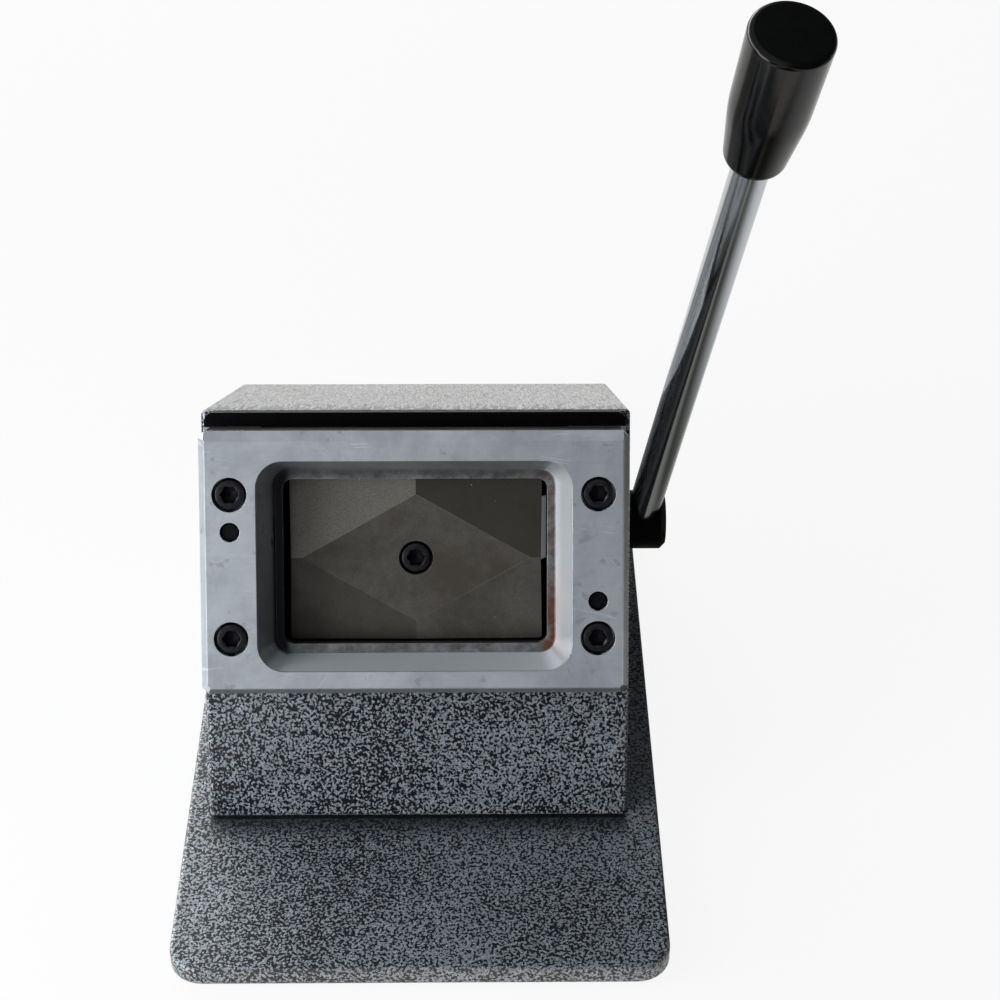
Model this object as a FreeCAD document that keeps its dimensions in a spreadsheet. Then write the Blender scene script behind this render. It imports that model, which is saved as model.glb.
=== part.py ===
"""Desk die cutter that punches identity cards out of plastic sheet, as a parametric document (mm).

+Z is up, the working side faces -Y, and the origin is below the middle of the head, on the plane
that the feet stand on.  The die stands in a frame of its own, the die frame: its origin is the
middle of the card window on the die plate's front, local X runs across the plate, local Y up along
it and local Z out of it towards the user.  The sheet's "pitch" is how far that frame is turned
about X.
"""
import math
import os

import FreeCAD
import Part
import Sketcher
from FreeCAD import Placement, Rotation, Vector

os.makedirs("parts", exist_ok=True)

DIMENSIONS = {
    # base plate and feet
    "base_wide": 160, "base_deep": 255, "base_thick": 6, "base_round": 11, "base_shift": 1.5,
    "base_edge": 0.8, "foot_rise": 4, "foot_reach": 9, "foot_taper": 0.8, "foot_x": 68,
    "foot_y": 107, "foot_sink": 0.8,
    # die frame
    "pitch": 60, "die_y": -45.4, "die_z": 107.2,
    # die plate
    "plate_wide": 137, "plate_up": 43.5, "plate_down": 41.25, "plate_thick": 16, "plate_bevel": 2,
    "brow_tall": 3.2, "brow_deep": 2.2,
    "window_wide": 101, "window_tall": 68, "window_round": 8.8, "window_depth": 12.5,
    "ledge_wide": 90.6, "ledge_tall": 59.6, "ledge_round": 5,
    "card_wide": 85.7, "card_tall": 54, "card_round": 3.2,
    "screw_x": 58.75, "screw_y": 23.25, "bore_reach": 5.6, "bore_deep": 6.5,
    "dowel_y": 11.25, "dowel_reach": 3, "dowel_fit": 0.15, "dowel_front": 1.5, "dowel_long": 32,
    # feed slot and guide plate behind the die plate
    "slot_gap": 2, "slot_half": 50, "stop_tall": 8, "guide_thick": 10, "guide_round": 3,
    "guide_fit": 0.3,
    # cast head
    "head_wide": 141.5, "side_wall": 9.25, "head_up": 48.1, "head_deep": 130, "head_round": 1.6, "apron_y": -58.5,
    "apron_gap": 2, "wall": 8, "front_wall": 12, "bush_boss": 8, "bush_boss_reach": 17,
    "foot_boss": 18, "rear_open_x": 40, "rear_open_low": 21, "rear_open_high": 54,
    "cover_x": 50, "cover_low": 13, "cover_high": 62, "cover_thick": 3, "cover_round": 4,
    "cover_screw_x": 45, "cover_screw_low": 17.5, "cover_screw_high": 57.5,
    # punch and slide
    "punch_back": 20.5, "punch_long": 30, "punch_fit": 0.05, "punch_bevel_wide": 1.8,
    "punch_bevel_deep": 5, "facet_x": 37.5, "facet_y": 21, "facet_drop": 1.1,
    "slide_thick": 20, "slide_half": 25, "tongue_out": 5, "tongue_half": 6, "neck_half": 16,
    "neck_root": 20, "neck_end": 12, "yoke_thick": 20, "yoke_wall": 7, "yoke_round": 8,
    "yoke_fit": 0.3, "rail_back": 88, "rail_half": 20, "rail_out": 57,
    "rail_screw_x": 53, "rail_screw_y": 14,
    # shaft, cam and lever
    "shaft_depth": 131.7, "shaft_drop": 1.6, "shaft_reach": 7, "shaft_left": -65.5,
    "shaft_edge": 1, "cam_reach": 16, "cam_throw": 6.1, "cam_start": -35, "cam_thick": 20,
    "cam_edge": 0.6, "journal_fit": 0.04, "wall_fit": 0.4, "key_side": 5, "key_long": 18,
    "bush_reach": 10, "bush_long": 12.4, "flange_reach": 14, "flange_thick": 2,
    "collar_reach": 13, "collar_thick": 10, "collar_gap": 0.4,
    "hub_reach": 11.05, "hub_long": 19.25, "hub_gap": 1, "hub_edge": 2, "hub_screw_in": 4.75,
    "rod_x": 82, "rod_reach": 6, "rod_start": 8.2, "rod_end": 209.8, "rod_edge": 0.8,
    "lever_lean": 22, "lever_splay": 5.64, "stud_reach": 4, "stud_long": 20,
    "knob_long": 55.2, "knob_waist": 23.2, "knob_low": 9.4, "knob_mid": 12.3, "knob_high": 12.95,
    "knob_low_round": 4.6, "knob_mid_round": 90, "knob_high_round": 1.8,
    # fasteners: thread radii, lengths under the head and the clearances round them
    "thread_small": 2, "thread_mid": 2.5, "thread_large": 3, "plate_screw_long": 31,
    "punch_screw_long": 38, "rail_screw_long": 57, "base_screw_long": 18, "foot_screw_long": 7,
    "cover_screw_long": 9, "grub_long": 5, "cap_share": 1.667, "button_share": 1.8,
    "hex_share": 0.95, "tip_share": 0.3, "thread_fit": 0.05, "screw_fit": 0.3,
}

DOC = FreeCAD.newDocument("card_cutter")
SHEET = DOC.addObject("Spreadsheet::Sheet", "Dim")
for row, (alias, number) in enumerate(DIMENSIONS.items(), 1):
    SHEET.set(f"A{row}", alias)
    SHEET.set(f"B{row}", str(number))
    SHEET.setAlias(f"B{row}", alias)
DOC.recompute()

NODES = []
SIDES = (("left", -1), ("right", 1))

BASE_TOP = "(Dim.foot_rise + Dim.base_thick)"

# Levels along the die frame's Z, behind the die plate's front.
SLOT_Z = "(-Dim.plate_thick)"
GUIDE_Z = "(-Dim.plate_thick - Dim.slot_gap)"
HEAD_Z = "(-Dim.plate_thick - Dim.slot_gap - Dim.guide_thick)"
WALL_Z = f"({HEAD_Z} - Dim.front_wall)"
HEAD_BACK_Z = f"({HEAD_Z} - Dim.head_deep)"
SLIDE_Z = "(-Dim.punch_back - Dim.punch_long)"


def world_y(up, out):
    """Expression for the document's Y of a point of the die frame."""
    return f"(Dim.die_y + ({up}) * cos(Dim.pitch) - ({out}) * sin(Dim.pitch))"


def world_z(up, out):
    """Expression for the document's Z of a point of the die frame."""
    return f"(Dim.die_z + ({up}) * sin(Dim.pitch) + ({out}) * cos(Dim.pitch))"


SHAFT_Y = world_y("-Dim.shaft_drop", "-Dim.shaft_depth")
SHAFT_Z = world_z("-Dim.shaft_drop", "-Dim.shaft_depth")
HEAD_BACK_Y = world_y("Dim.head_up", HEAD_BACK_Z)
CAM_TURN = "Dim.pitch + Dim.cam_start"
HUB_X = "(Dim.head_wide / 2 + Dim.hub_gap)"
BOSS_X = "(Dim.head_wide / 2 - Dim.side_wall - Dim.bush_boss)"
FOOT_BOSS_X = "(Dim.head_wide / 2 - Dim.side_wall - Dim.foot_boss / 2)"
FOOT_BOSS_FRONT_Y = "(Dim.apron_y + Dim.wall + Dim.foot_boss / 2)"
FOOT_BOSS_BACK_Y = f"({HEAD_BACK_Y} - Dim.wall - Dim.foot_boss / 2)"
GUIDE_X = "(Dim.card_wide / 2 + Dim.guide_fit)"
GUIDE_Y = "(Dim.card_tall / 2 + Dim.guide_fit)"
PUNCH_X = "(Dim.card_wide / 2 - Dim.punch_fit)"
PUNCH_Y = "(Dim.card_tall / 2 - Dim.punch_fit)"

PLATE_SCREWS = [(f"{x} * Dim.screw_x", f"{y} * Dim.screw_y") for x in (-1, 1) for y in (-1, 1)]
DOWELS = [(f"{side} * Dim.screw_x", f"{-side} * Dim.dowel_y") for side in (-1, 1)]
RAIL_SCREWS = [(f"{x} * Dim.rail_screw_x", f"{y} * Dim.rail_screw_y") for x in (-1, 1) for y in (-1, 1)]
BASE_SCREWS = [(f"{x} * {FOOT_BOSS_X}", y) for x in (-1, 1) for y in (FOOT_BOSS_FRONT_Y, FOOT_BOSS_BACK_Y)]
FEET = [(f"Dim.base_shift + {x} * Dim.foot_x", f"{y} * Dim.foot_y") for x in (-1, 1) for y in (-1, 1)]
COVER_SCREWS = [(f"{x} * Dim.cover_screw_x", z) for x in (-1, 1)
                for z in ("Dim.cover_screw_low", "Dim.cover_screw_high")]


def value(expression):
    """Number that an expression on the sheet's cells comes to."""
    return float(SHEET.evalExpression(str(expression)))


def point(across, up, out):
    """Vector from three expressions."""
    return Vector(value(across), value(up), value(out))


def die_placement():
    """Placement of the die frame."""
    return Placement(point(0, "Dim.die_y", "Dim.die_z"), Rotation(Vector(1, 0, 0), value("Dim.pitch")))


def shaft_placement(turn="0"):
    """Placement on the shaft's axis, turned about it by an expression in degrees."""
    return Placement(point(0, SHAFT_Y, SHAFT_Z), Rotation(Vector(1, 0, 0), value(turn)))


def lever_placement():
    """Placement on the shaft's axis whose Z runs up the lever rod."""
    lean = Rotation(Vector(1, 0, 0), value("Dim.lever_lean"))
    splay = Rotation(Vector(0, 1, 0), value("Dim.lever_splay"))
    return Placement(point("Dim.rod_x", SHAFT_Y, SHAFT_Z), lean.multiply(splay))


# ------------------------------------------------------------------ sketch helpers
def new_body(label, placement=None):
    """Body of one sub-part."""
    body = DOC.addObject("PartDesign::Body", label)
    if placement is not None:
        body.Placement = placement
    return body


def new_sketch(body, name, role="XY_Plane", level="0", frame=None):
    """Sketch on one of the body's origin planes, at a level along its normal or in a frame."""
    sketch = body.newObject("Sketcher::SketchObject", f"{body.Name}_{name}")
    plane = next(item for item in body.Origin.OriginFeatures if item.Role == role)
    sketch.AttachmentSupport = [(plane, "")]
    sketch.MapMode = "FlatFace"
    if frame is not None:
        sketch.AttachmentOffset = frame
    if level != "0":
        sketch.setExpression("AttachmentOffset.Base.z", level)
    return sketch


def bind(sketch, kind, *where, to):
    """Add a dimension to a sketch and bind it to an expression."""
    index = sketch.addConstraint(Sketcher.Constraint(kind, *where, value(to)))
    sketch.renameConstraint(index, f"size{index}")
    sketch.setExpression(f"Constraints.size{index}", str(to))


def polygon(sketch, corners):
    """Closed straight-sided outline through corners given as pairs of expressions."""
    first = sketch.GeometryCount
    count = len(corners)
    places = [point(x, y, 0) for x, y in corners]
    for index in range(count):
        sketch.addGeometry(Part.LineSegment(places[index], places[(index + 1) % count]))
    for index in range(count):
        following = first + (index + 1) % count
        sketch.addConstraint(Sketcher.Constraint("Coincident", first + index, 2, following, 1))
    for index, (x, y) in enumerate(corners):
        bind(sketch, "DistanceX", -1, 1, first + index, 1, to=x)
        bind(sketch, "DistanceY", -1, 1, first + index, 1, to=y)


def rectangle(sketch, left, low, right, high):
    """Rectangle between four expressions."""
    polygon(sketch, [(left, low), (right, low), (right, high), (left, high)])


def rounded_rectangle(sketch, left, low, right, high, radius):
    """Rectangle with four equal tangent corner arcs; lines are even and arcs odd geometry."""
    first = sketch.GeometryCount
    x0, y0, x1, y1, r = (value(item) for item in (left, low, right, high, radius))
    centres = [(x1 - r, y0 + r), (x1 - r, y1 - r), (x0 + r, y1 - r), (x0 + r, y0 + r)]
    starts = [math.radians(angle) for angle in (-90, 0, 90, 180)]
    arcs = [Part.ArcOfCircle(Part.Circle(Vector(x, y, 0), Vector(0, 0, 1), r), start, start + math.pi / 2)
            for (x, y), start in zip(centres, starts)]
    for index, arc in enumerate(arcs):
        sketch.addGeometry(Part.LineSegment(arcs[index - 1].EndPoint, arc.StartPoint))
        sketch.addGeometry(arc)
    for index in range(4):
        line = first + 2 * index
        following = first + (2 * index + 2) % 8
        direction = "Horizontal" if index % 2 == 0 else "Vertical"
        sketch.addConstraint(Sketcher.Constraint("Tangent", line, 2, line + 1, 1))
        sketch.addConstraint(Sketcher.Constraint("Tangent", line + 1, 2, following, 1))
        sketch.addConstraint(Sketcher.Constraint(direction, line))
        if index:
            sketch.addConstraint(Sketcher.Constraint("Equal", first + 1, line + 1))
    bind(sketch, "Radius", first + 1, to=radius)
    bind(sketch, "DistanceY", -1, 1, first, 1, to=low)
    bind(sketch, "DistanceX", -1, 1, first + 2, 1, to=right)
    bind(sketch, "DistanceY", -1, 1, first + 4, 1, to=high)
    bind(sketch, "DistanceX", -1, 1, first + 6, 1, to=left)


def circles(sketch, centres, radius):
    """Equal circles at centres given as pairs of expressions."""
    for x, y in centres:
        index = sketch.addGeometry(Part.Circle(point(x, y, 0), Vector(0, 0, 1), value(radius)))
        bind(sketch, "Radius", index, to=radius)
        bind(sketch, "DistanceX", -1, 1, index, 3, to=x)
        bind(sketch, "DistanceY", -1, 1, index, 3, to=y)


# ----------------------------------------------------------------- feature helpers
def pad(body, sketch, length, symmetric=False, backwards=False):
    """Pad a sketch along its normal, against it, or half each way."""
    feature = body.newObject("PartDesign::Pad", f"{sketch.Name}_pad")
    feature.Profile = sketch
    feature.setExpression("Length", length)
    feature.SideType = "Symmetric" if symmetric else "One side"
    feature.Reversed = backwards
    DOC.recompute()
    return feature


def pocket(body, sketch, length, symmetric=False, backwards=False):
    """Cut a sketch against its normal, along it, or half each way, and make sure that it cut."""
    before = body.Shape.Volume
    feature = body.newObject("PartDesign::Pocket", f"{sketch.Name}_cut")
    feature.Profile = sketch
    feature.setExpression("Length", length)
    feature.SideType = "Symmetric" if symmetric else "One side"
    feature.Reversed = backwards
    DOC.recompute()
    if not body.Shape.Volume < before:
        raise RuntimeError(f"{feature.Name} cut nothing")
    return feature


def revolve(body, sketch, axis="V_Axis"):
    """Turn a sketch a full turn about one of its axes."""
    feature = body.newObject("PartDesign::Revolution", f"{sketch.Name}_turned")
    feature.Profile = sketch
    feature.ReferenceAxis = (sketch, [axis])
    feature.Angle = 360
    DOC.recompute()
    return feature


def round_edges(body, kind, feature, size, wanted):
    """Fillet or chamfer the edges of a feature that a test picks."""
    names = [f"Edge{i}" for i, edge in enumerate(feature.Shape.Edges, 1) if wanted(edge)]
    if not names:
        raise RuntimeError(f"no edge of {feature.Name} is picked")
    dressing = body.newObject(f"PartDesign::{kind}", f"{feature.Name}_{kind.lower()}")
    dressing.Base = (feature, names)
    dressing.setExpression("Radius" if kind == "Fillet" else "Size", size)
    DOC.recompute()
    return dressing


def at_level(level, axis="z"):
    """Test for edges that lie wholly at a level along an axis."""
    return lambda edge: all(abs(getattr(vertex.Point, axis) - level) < 1e-4 for vertex in edge.Vertexes)


def along(axis):
    """Test for straight edges that run along an axis."""
    return lambda edge: (edge.Curve.TypeId == "Part::GeomLine"
                         and abs(abs(edge.tangentAt(edge.FirstParameter).dot(axis)) - 1) < 1e-6)


def is_circle(edge):
    """Test for circular edges."""
    return edge.Curve.TypeId == "Part::GeomCircle"


def rim_of(radius):
    """Test for circular edges of one radius."""
    return lambda edge: is_circle(edge) and abs(edge.Curve.Radius - radius) < 1e-3


def drilled(body, name, centres, radius, depth, role="XY_Plane", level="0", frame=None, backwards=False):
    """Cut a set of equal round holes."""
    sketch = new_sketch(body, name, role, level, frame)
    circles(sketch, centres, radius)
    return pocket(body, sketch, depth, backwards=backwards)


def headed_holes(body, name, centres, radius, head, level="0", depth=None, backwards=False):
    """Cut screw holes with a counterbore of the given depth, or a countersink without one."""
    sketch = new_sketch(body, name, level=level)
    circles(sketch, centres, radius)
    DOC.recompute()
    before = body.Shape.Volume
    hole = body.newObject("PartDesign::Hole", f"{sketch.Name}_hole")
    hole.Profile = sketch
    hole.Reversed = backwards
    hole.DepthType = "ThroughAll"
    hole.setExpression("Diameter", f"2 * ({radius})")
    hole.HoleCutType = "Counterbore" if depth else "Countersink"
    hole.HoleCutCustomValues = True
    hole.setExpression("HoleCutDiameter", f"2 * ({head})")
    if depth:
        hole.setExpression("HoleCutDepth", depth)
    else:
        hole.HoleCutCountersinkAngle = 90
    DOC.recompute()
    if not body.Shape.Volume < before:
        raise RuntimeError(f"{hole.Name} cut nothing")
    return hole


# ----------------------------------------------------------------------- fasteners
def hex_socket(body, reach, top):
    """Sink a hexagon socket of a screw's size into its head."""
    sketch = new_sketch(body, "socket", level=top)
    corner = f"{reach} * Dim.hex_share"
    polygon(sketch, [(f"{corner} * cos({turn})", f"{corner} * sin({turn})") for turn in range(0, 360, 60)])
    pocket(body, sketch, reach)


def screw(name, outline, reach, top, long):
    """Screw turned from a head outline, with a shank down to -long and a hexagon socket."""
    body = new_body(name)
    sketch = new_sketch(body, "outline", "XZ_Plane")
    tip = f"{reach} * Dim.tip_share"
    shank = [(reach, f"-({long}) + {tip}"), (f"{reach} - {tip}", f"-({long})"), ("0", f"-({long})")]
    polygon(sketch, outline + shank)
    revolve(body, sketch)
    hex_socket(body, reach, top)
    return body


def cap_screw(name, reach, long):
    """Socket head cap screw, its head standing on Z = 0."""
    head = f"{reach} * Dim.cap_share"
    top = f"2 * {reach}"
    edge = f"{reach} * Dim.tip_share"
    outline = [("0", top), (f"{head} - {edge}", top), (head, f"{top} - {edge}"), (head, "0"), (reach, "0")]
    return screw(name, outline, reach, top, long)


def flat_screw(name, reach, long):
    """Countersunk screw, the top of its head at Z = 0."""
    outline = [("0", "0"), (f"2 * {reach}", "0"), (reach, f"-({reach})")]
    return screw(name, outline, reach, "0", long)


def button_screw(name, reach, long):
    """Low round-headed screw, its head standing on Z = 0."""
    head = f"{reach} * Dim.button_share"
    outline = [("0", f"{reach} * 1.1"), (f"{reach} * 0.9", f"{reach} * 1.1"),
               (f"{reach} * 1.5", f"{reach} * 0.75"), (head, f"{reach} * 0.2"), (head, "0"), (reach, "0")]
    return screw(name, outline, reach, f"{reach} * 1.1", long)


def grub_screw(label, placement, reach):
    """Headless screw with its socket at local Z = 0."""
    outline = [("0", "0"), (reach, "0")]
    body = screw(label, outline, reach, "0", "Dim.grub_long")
    body.Placement = placement
    return finish(body, label)


def finish(item, label):
    """Name an object as a finished sub-part."""
    item.Label = label
    NODES.append(item)
    return item


def group(label, master, places):
    """Equal pieces as one sub-part: links to a master piece, gathered in a compound."""
    links = []
    for index, place in enumerate(places, 1):
        link = DOC.addObject("App::Link", f"{label}_{index}")
        link.LinkedObject = master
        link.LinkPlacement = place
        links.append(link)
    compound = DOC.addObject("Part::Compound", label)
    compound.Links = links
    DOC.recompute()
    return finish(compound, label)


def in_die(centres, level, turn=0):
    """Placements at points of the die frame, turned over about its X when turn is 180."""
    flip = Rotation(Vector(1, 0, 0), turn)
    return [die_placement().multiply(Placement(point(x, y, level), flip)) for x, y in centres]


# ------------------------------------------------------------------- base and feet
def make_base_plate():
    """Flat steel plate with round corners, countersunk from below for the head's screws."""
    body = new_body("base_plate")
    outline = new_sketch(body, "outline", level="Dim.foot_rise")
    rounded_rectangle(outline, "Dim.base_shift - Dim.base_wide / 2", "-Dim.base_deep / 2",
                      "Dim.base_shift + Dim.base_wide / 2", "Dim.base_deep / 2", "Dim.base_round")
    slab = pad(body, outline, "Dim.base_thick")
    round_edges(body, "Fillet", slab, "Dim.base_edge", at_level(value(BASE_TOP)))
    headed_holes(body, "head_screw_bores", BASE_SCREWS, "Dim.thread_large + Dim.screw_fit",
                 "2 * Dim.thread_large + Dim.screw_fit", level="Dim.foot_rise", backwards=True)
    drilled(body, "foot_screws", FEET, "Dim.thread_small + Dim.thread_fit", "Dim.base_thick - 1",
            level="Dim.foot_rise", backwards=True)
    return finish(body, "base_plate")


def make_feet():
    """Four low rubber feet, dished below for their screws."""
    foot = new_body("foot")
    outline = new_sketch(foot, "outline", "XZ_Plane")
    hole = "(Dim.thread_small + Dim.screw_fit)"
    head = "(2 * Dim.thread_small + Dim.screw_fit)"
    seat = "Dim.foot_sink"
    polygon(outline, [(hole, "Dim.foot_rise"), ("Dim.foot_reach", "Dim.foot_rise"),
                      ("Dim.foot_reach - Dim.foot_taper", "0"), (head, "0"), (head, seat),
                      (hole, f"{seat} + {head} - {hole}")])
    revolve(foot, outline)
    group("rubber_feet", foot, [Placement(point(x, y, 0), Rotation()) for x, y in FEET])
    master = flat_screw("foot_screw", "Dim.thread_small", "Dim.foot_screw_long")
    flip = Rotation(Vector(1, 0, 0), 180)
    group("feet_screws", master, [Placement(point(x, y, seat), flip) for x, y in FEET])


# ----------------------------------------------------------------------- cast head
def make_head():
    """Hollow casting: apron, leaning front wall, sloping top, sides and back, open below."""
    body = new_body("head_casting")
    side = new_sketch(body, "side_view", "YZ_Plane")
    apron_top = "-Dim.plate_down - Dim.apron_gap"
    floor = BASE_TOP
    polygon(side, [("Dim.apron_y", floor),
                   (world_y(apron_top, HEAD_Z), world_z(apron_top, HEAD_Z)),
                   (world_y("Dim.head_up", HEAD_Z), world_z("Dim.head_up", HEAD_Z)),
                   (HEAD_BACK_Y, world_z("Dim.head_up", HEAD_BACK_Z)),
                   (HEAD_BACK_Y, floor)])
    block = pad(body, side, "Dim.head_wide", symmetric=True)
    outer = value("Dim.head_wide / 2")
    low = value(floor)
    round_edges(body, "Fillet", block, "Dim.head_round",
                lambda edge: max(v.Point.z for v in edge.Vertexes) > low + 1
                and (len({round(v.Point.x, 3) for v in edge.Vertexes}) == 1
                     or min(v.Point.z for v in edge.Vertexes) > low + 1)
                and abs(abs(edge.Vertexes[0].Point.x) - outer) < 1e-3)
    make_head_cavity(body)
    make_head_bosses(body)
    make_head_holes(body)
    return finish(body, "head_casting")


def make_head_cavity(body):
    """Hollow the head out to its wall thickness, through its underside."""
    cavity = new_sketch(body, "cavity", "YZ_Plane")
    inner_up = "(Dim.head_up - Dim.wall)"
    apron_top = "(-Dim.plate_down + Dim.apron_gap)"
    back_z = f"({HEAD_BACK_Z} + Dim.wall * tan(Dim.pitch / 2))"
    below = f"({BASE_TOP} - 1)"
    polygon(cavity, [("Dim.apron_y + Dim.wall", below),
                     (world_y(apron_top, WALL_Z), world_z(apron_top, WALL_Z)),
                     (world_y(inner_up, WALL_Z), world_z(inner_up, WALL_Z)),
                     (world_y(inner_up, back_z), world_z(inner_up, back_z)),
                     (f"{HEAD_BACK_Y} - Dim.wall", below)])
    pocket(body, cavity, "Dim.head_wide - 2 * Dim.side_wall", symmetric=True)


def make_head_bosses(body):
    """Add the round bosses for the bushes and the square ones for the base screws."""
    for label, sign in SIDES:
        boss = new_sketch(body, f"bush_boss_{label}", "YZ_Plane", f"{sign} * {BOSS_X}")
        circles(boss, [(SHAFT_Y, SHAFT_Z)], "Dim.bush_boss_reach")
        pad(body, boss, "Dim.bush_boss + Dim.wall / 2", backwards=sign < 0)
        for end, y in (("front", FOOT_BOSS_FRONT_Y), ("back", FOOT_BOSS_BACK_Y)):
            block = new_sketch(body, f"foot_boss_{label}_{end}", level=BASE_TOP)
            inner = f"{sign} * ({FOOT_BOSS_X} - Dim.foot_boss / 2)"
            outer = f"{sign} * ({FOOT_BOSS_X} + Dim.foot_boss / 2 + Dim.wall / 2)"
            rectangle(block, inner, f"{y} - Dim.foot_boss / 2", outer, f"{y} + Dim.foot_boss / 2")
            pad(body, block, "Dim.foot_boss")
        drilled(body, f"bush_seat_{label}", [(SHAFT_Y, SHAFT_Z)], "Dim.bush_reach + Dim.thread_fit",
                "Dim.bush_long + 1", "YZ_Plane", f"{sign} * ({BOSS_X} - 1)", backwards=sign > 0)
    drilled(body, "shaft_hole", [(SHAFT_Y, SHAFT_Z)], "Dim.shaft_reach + Dim.wall_fit",
            "Dim.wall + 1", "YZ_Plane", "Dim.head_wide / 2 + 1")


def make_head_holes(body):
    """Open the front wall for the punch and the back for its cover, and drill the screw holes."""
    front = die_placement().multiply(Placement(point(0, 0, HEAD_Z), Rotation()))
    opening = new_sketch(body, "punch_way", frame=front)
    rounded_rectangle(opening, f"-{GUIDE_X}", f"-{GUIDE_Y}", GUIDE_X, GUIDE_Y, "Dim.card_round")
    pocket(body, opening, "Dim.front_wall + 1")
    drilled(body, "plate_threads", PLATE_SCREWS, "Dim.thread_large + Dim.thread_fit",
            "Dim.front_wall - 1", frame=front)
    drilled(body, "dowel_seats", DOWELS, "Dim.dowel_reach + Dim.thread_fit", "Dim.front_wall - 1",
            frame=front)
    inside = die_placement().multiply(Placement(point(0, 0, WALL_Z), Rotation()))
    drilled(body, "rail_threads", RAIL_SCREWS, "Dim.thread_mid + Dim.thread_fit",
            "Dim.front_wall - 1.5", frame=inside, backwards=True)
    back = new_sketch(body, "rear_opening", "XZ_Plane", f"-({HEAD_BACK_Y} - Dim.wall - 1)")
    rounded_rectangle(back, "-Dim.rear_open_x", "Dim.rear_open_low", "Dim.rear_open_x",
                      "Dim.rear_open_high", "Dim.cover_round")
    pocket(body, back, "Dim.wall + 2")
    drilled(body, "cover_threads", COVER_SCREWS, "Dim.thread_small + Dim.thread_fit", "Dim.wall + 2",
            "XZ_Plane", f"-({HEAD_BACK_Y} - Dim.wall - 1)")
    drilled(body, "base_threads", BASE_SCREWS, "Dim.thread_large + Dim.thread_fit",
            "Dim.foot_boss - 3", level=BASE_TOP, backwards=True)


def make_rear_cover():
    """Flat plate that closes the opening in the head's back."""
    body = new_body("rear_cover")
    outline = new_sketch(body, "outline", "XZ_Plane", f"-({HEAD_BACK_Y})")
    rounded_rectangle(outline, "-Dim.cover_x", "Dim.cover_low", "Dim.cover_x", "Dim.cover_high",
                      "Dim.cover_round")
    pad(body, outline, "Dim.cover_thick", backwards=True)
    drilled(body, "holes", COVER_SCREWS, "Dim.thread_small + Dim.screw_fit", "Dim.cover_thick + 2",
            "XZ_Plane", f"-({HEAD_BACK_Y} - 1)")
    finish(body, "rear_cover")
    master = button_screw("cover_screw", "Dim.thread_small", "Dim.cover_screw_long")
    face = f"{HEAD_BACK_Y} + Dim.cover_thick"
    backwards = Rotation(Vector(1, 0, 0), -90)
    group("rear_cover_screws", master,
          [Placement(point(x, face, z), backwards) for x, z in COVER_SCREWS])


def make_base_screws():
    """Countersunk screws that hold the head down from under the base plate."""
    master = flat_screw("base_screw", "Dim.thread_large", "Dim.base_screw_long")
    flip = Rotation(Vector(1, 0, 0), 180)
    sunk = "Dim.foot_rise + Dim.screw_fit"
    group("base_screws", master, [Placement(point(x, y, sunk), flip) for x, y in BASE_SCREWS])


# ----------------------------------------------------------------------- die stack
def make_die_plate():
    """Steel die with a bevelled edge, a splayed window and the card-shaped cutting opening."""
    body = new_body("die_plate", die_placement())
    outline = new_sketch(body, "outline")
    rectangle(outline, "-Dim.plate_wide / 2", "-Dim.plate_down", "Dim.plate_wide / 2", "Dim.plate_up")
    slab = pad(body, outline, "Dim.plate_thick", backwards=True)
    corners = round_edges(body, "Chamfer", slab, "Dim.plate_bevel", along(Vector(0, 0, 1)))
    round_edges(body, "Chamfer", corners, "Dim.plate_bevel", at_level(0))
    brow = new_sketch(body, "brow", "YZ_Plane")
    polygon(brow, [("Dim.plate_up - Dim.brow_tall", "0"), ("Dim.plate_up", "-Dim.brow_deep"),
                   ("Dim.plate_up + 1", "-Dim.brow_deep"), ("Dim.plate_up + 1", "1"),
                   ("Dim.plate_up - Dim.brow_tall", "1")])
    pocket(body, brow, "Dim.plate_wide + 2", symmetric=True)
    mouth = new_sketch(body, "window_mouth")
    rounded_rectangle(mouth, "-Dim.window_wide / 2", "-Dim.window_tall / 2", "Dim.window_wide / 2",
                      "Dim.window_tall / 2", "Dim.window_round")
    ledge = new_sketch(body, "window_ledge", level="-Dim.window_depth")
    rounded_rectangle(ledge, "-Dim.ledge_wide / 2", "-Dim.ledge_tall / 2", "Dim.ledge_wide / 2",
                      "Dim.ledge_tall / 2", "Dim.ledge_round")
    splay = body.newObject("PartDesign::SubtractiveLoft", "window")
    splay.Profile = mouth
    splay.Sections = [ledge]
    splay.Ruled = True
    DOC.recompute()
    opening = new_sketch(body, "card_opening", level="-Dim.window_depth")
    rounded_rectangle(opening, "-Dim.card_wide / 2", "-Dim.card_tall / 2", "Dim.card_wide / 2",
                      "Dim.card_tall / 2", "Dim.card_round")
    pocket(body, opening, "Dim.plate_thick")
    headed_holes(body, "screw_bores", PLATE_SCREWS, "Dim.thread_large + Dim.screw_fit", "Dim.bore_reach",
                 depth="Dim.bore_deep")
    drilled(body, "dowels", DOWELS, "Dim.dowel_reach + Dim.dowel_fit", "Dim.plate_thick + 1")
    return finish(body, "die_plate")


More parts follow.
